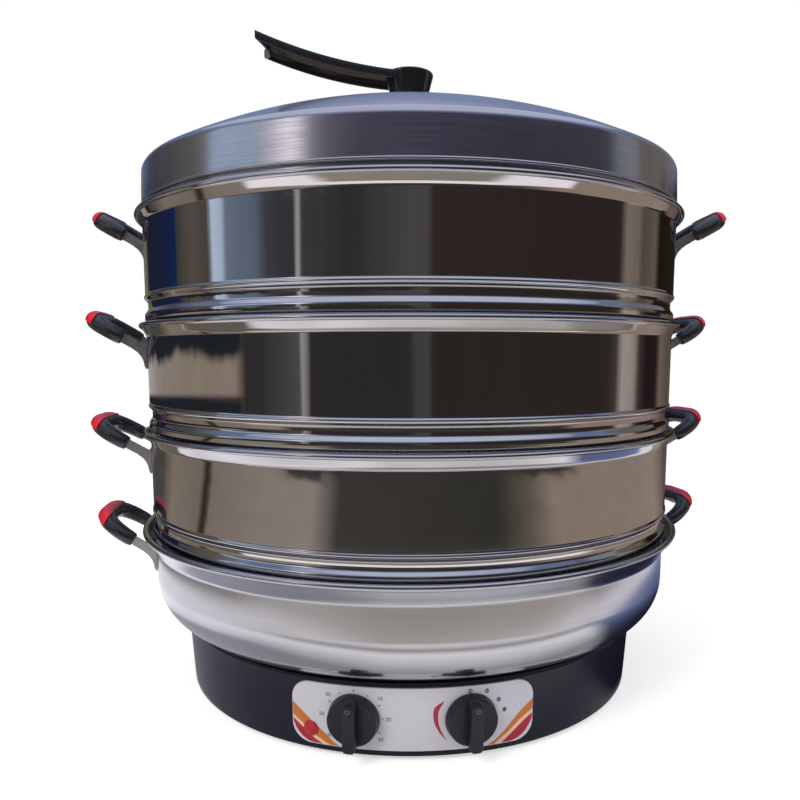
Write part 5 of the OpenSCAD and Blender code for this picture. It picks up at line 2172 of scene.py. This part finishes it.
    @staticmethod
    def seen_by_eye(tree: bpy.types.NodeTree) -> bpy.types.NodeSocket:
        """Tells the rays that show the background from those that light the object.

        Args:
            tree: a node tree.

        Returns:
            1 for camera, glossy and transmission rays, else 0.
        """
        path = add_node(tree, "ShaderNodeLightPath")
        seen = path.outputs["Is Camera Ray"]
        for ray in ("Is Glossy Ray", "Is Transmission Ray"):
            either = {0: seen, 1: path.outputs[ray]}
            seen = add_node(tree, "ShaderNodeMath", either, operation="MAXIMUM").outputs[0]
        return seen

    def world(self) -> None:
        """Lights the room evenly and shows white behind the object."""
        world = bpy.data.worlds.new("white_room")
        bpy.context.scene.world = world
        world.use_nodes = True
        tree = world.node_tree
        tree.nodes.clear()
        soft, white = (
            add_node(tree, "ShaderNodeBackground", {"Color": WHITE, "Strength": strength})
            for strength in (self.room_light, 1.0)
        )
        choice = {0: self.seen_by_eye(tree), 1: soft.outputs[0], 2: white.outputs[0]}
        mix = add_node(tree, "ShaderNodeMixShader", choice)
        add_node(tree, "ShaderNodeOutputWorld", {"Surface": mix.outputs[0]})

    def lamp(self, name: str, at: Sequence[float], size: float, watts: float, colour: str) -> None:
        """Hangs one soft lamp that looks at the object.

        Args:
            name: its name.
            at: its place, in millimetres.
            size: side of its square face, in millimetres.
            watts: its power.
            colour: its colour.
        """
        target = Vector((0, 0, self.lamps_aim_z))
        light = bpy.data.lights.new(name, "AREA")
        light.energy, light.size, light.color = watts, size * MM, linear(colour)[:3]
        made = bpy.data.objects.new(name, light)
        made.location = Vector(at) * MM
        made.rotation_euler = (target - Vector(at)).to_track_quat("-Z", "Y").to_euler()
        made.visible_camera = made.visible_glossy = False
        bpy.context.scene.collection.objects.link(made)

    def build(self) -> None:
        """Sets up the studio."""
        self.floor()
        self.world()
        self.room()
        self.ground()
        self.lamp("key_lamp", at=(-1300, -1500, 1700), size=1000, watts=26, colour="#fff8f2")
        self.lamp("fill_lamp", at=(1700, -900, 1100), size=1200, watts=8, colour="#f4f6ff")


@dataclass
class ViewCamera:
    """The camera at the photograph's place.

    Attributes:
        distance: distance from the pot's axis.
        height: height above the floor.
        turn_deg: how far it stands to the left of the front.
        down_deg: how far it looks down.
        focal_px: focal length, in pixels of the 800-pixel picture.
        axis_px: where the pot's axis meets the picture's optical row.
        centre_px: row of the optical axis.
    """

    distance: float = 617.2
    height: float = 250.4
    turn_deg: float = 2.25
    down_deg: float = 7.05
    focal_px: float = 758.1
    axis_px: float = 409.2
    centre_px: float = 448.7
    picture_px: float = 800.0
    sensor: float = 36.0
    clip_m: Point = (0.02, 50.0)

    def build(self) -> None:
        """Sets up the camera and makes it the scene's."""
        lens = bpy.data.cameras.new("photo_camera")
        lens.sensor_width = self.sensor
        lens.lens = self.focal_px * self.sensor / self.picture_px
        lens.shift_x = (self.picture_px / 2 - self.axis_px) / self.picture_px
        lens.shift_y = (self.centre_px - self.picture_px / 2) / self.picture_px
        lens.clip_start, lens.clip_end = self.clip_m
        turn, down = math.radians(self.turn_deg), math.radians(self.down_deg)
        x, y = math.sin(turn), math.cos(turn)
        ahead = Vector((x * math.cos(down), y * math.cos(down), -math.sin(down)))
        made = bpy.data.objects.new("photo_camera", lens)
        made.location = Vector((-self.distance * x, -self.distance * y, self.height)) * MM
        made.rotation_euler = ahead.to_track_quat("-Z", "Y").to_euler()
        bpy.context.scene.collection.objects.link(made)
        bpy.context.scene.camera = made


class Builder(Protocol):
    """A sub-assembly that builds its own pieces."""

    def build(self) -> int:
        """Builds the pieces and gives their number."""


def dress_cad_nodes(frame: dict[str, Any]) -> int:
    """Gives every CAD node that still shows the finish of its slot.

    Args:
        frame: the loaded frame.

    Returns:
        The number of nodes dressed.
    """
    slots = {part["node"]: part["material_slot"] for part in frame["record"]["subparts"]}
    count = 0
    for name, node in frame["nodes"].items():
        if node.hide_render:
            continue
        made = SLOT_FINISHES[slots[name]].material()
        if not node.material_slots:
            node.data.materials.append(made)
        for slot in node.material_slots:
            slot.material = made
        count += 1
    return count


def main() -> None:
    """Builds the looks in order, and reports each piece."""
    logging.basicConfig(level=logging.INFO, format="%(name)s: %(message)s")
    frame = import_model()
    bpy.context.scene.view_settings.view_transform = "Standard"

    wall = Wall()
    rims_z = (195.96, 272.96, 349.96)
    turns_deg = (5.75, 5.75, -2.25)
    builders: list[tuple[str, Builder]] = [
        ("base housing", Base(wall)),
        ("pilot lamp", PilotLamp(wall)),
        ("panel print", PanelArt(wall)),
        ("timer knob", Knob("timer", wall, TIMER_DEG)),
        ("thermostat knob", Knob("thermostat", wall, THERMOSTAT_DEG)),
        ("pot", Pot()),
        *((f"tier {i + 1}", Tier(i + 1, rims_z[i], turns_deg[i])) for i in range(3)),
        ("lid", Lid(rims_z[2])),
    ]
    for name, builder in builders:
        LOG.info("%s: %d pieces", name, builder.build())
    LOG.info("CAD nodes dressed: %d", dress_cad_nodes(frame))

    Studio().build()
    ViewCamera().build()


if __name__ == "__main__":
    main()
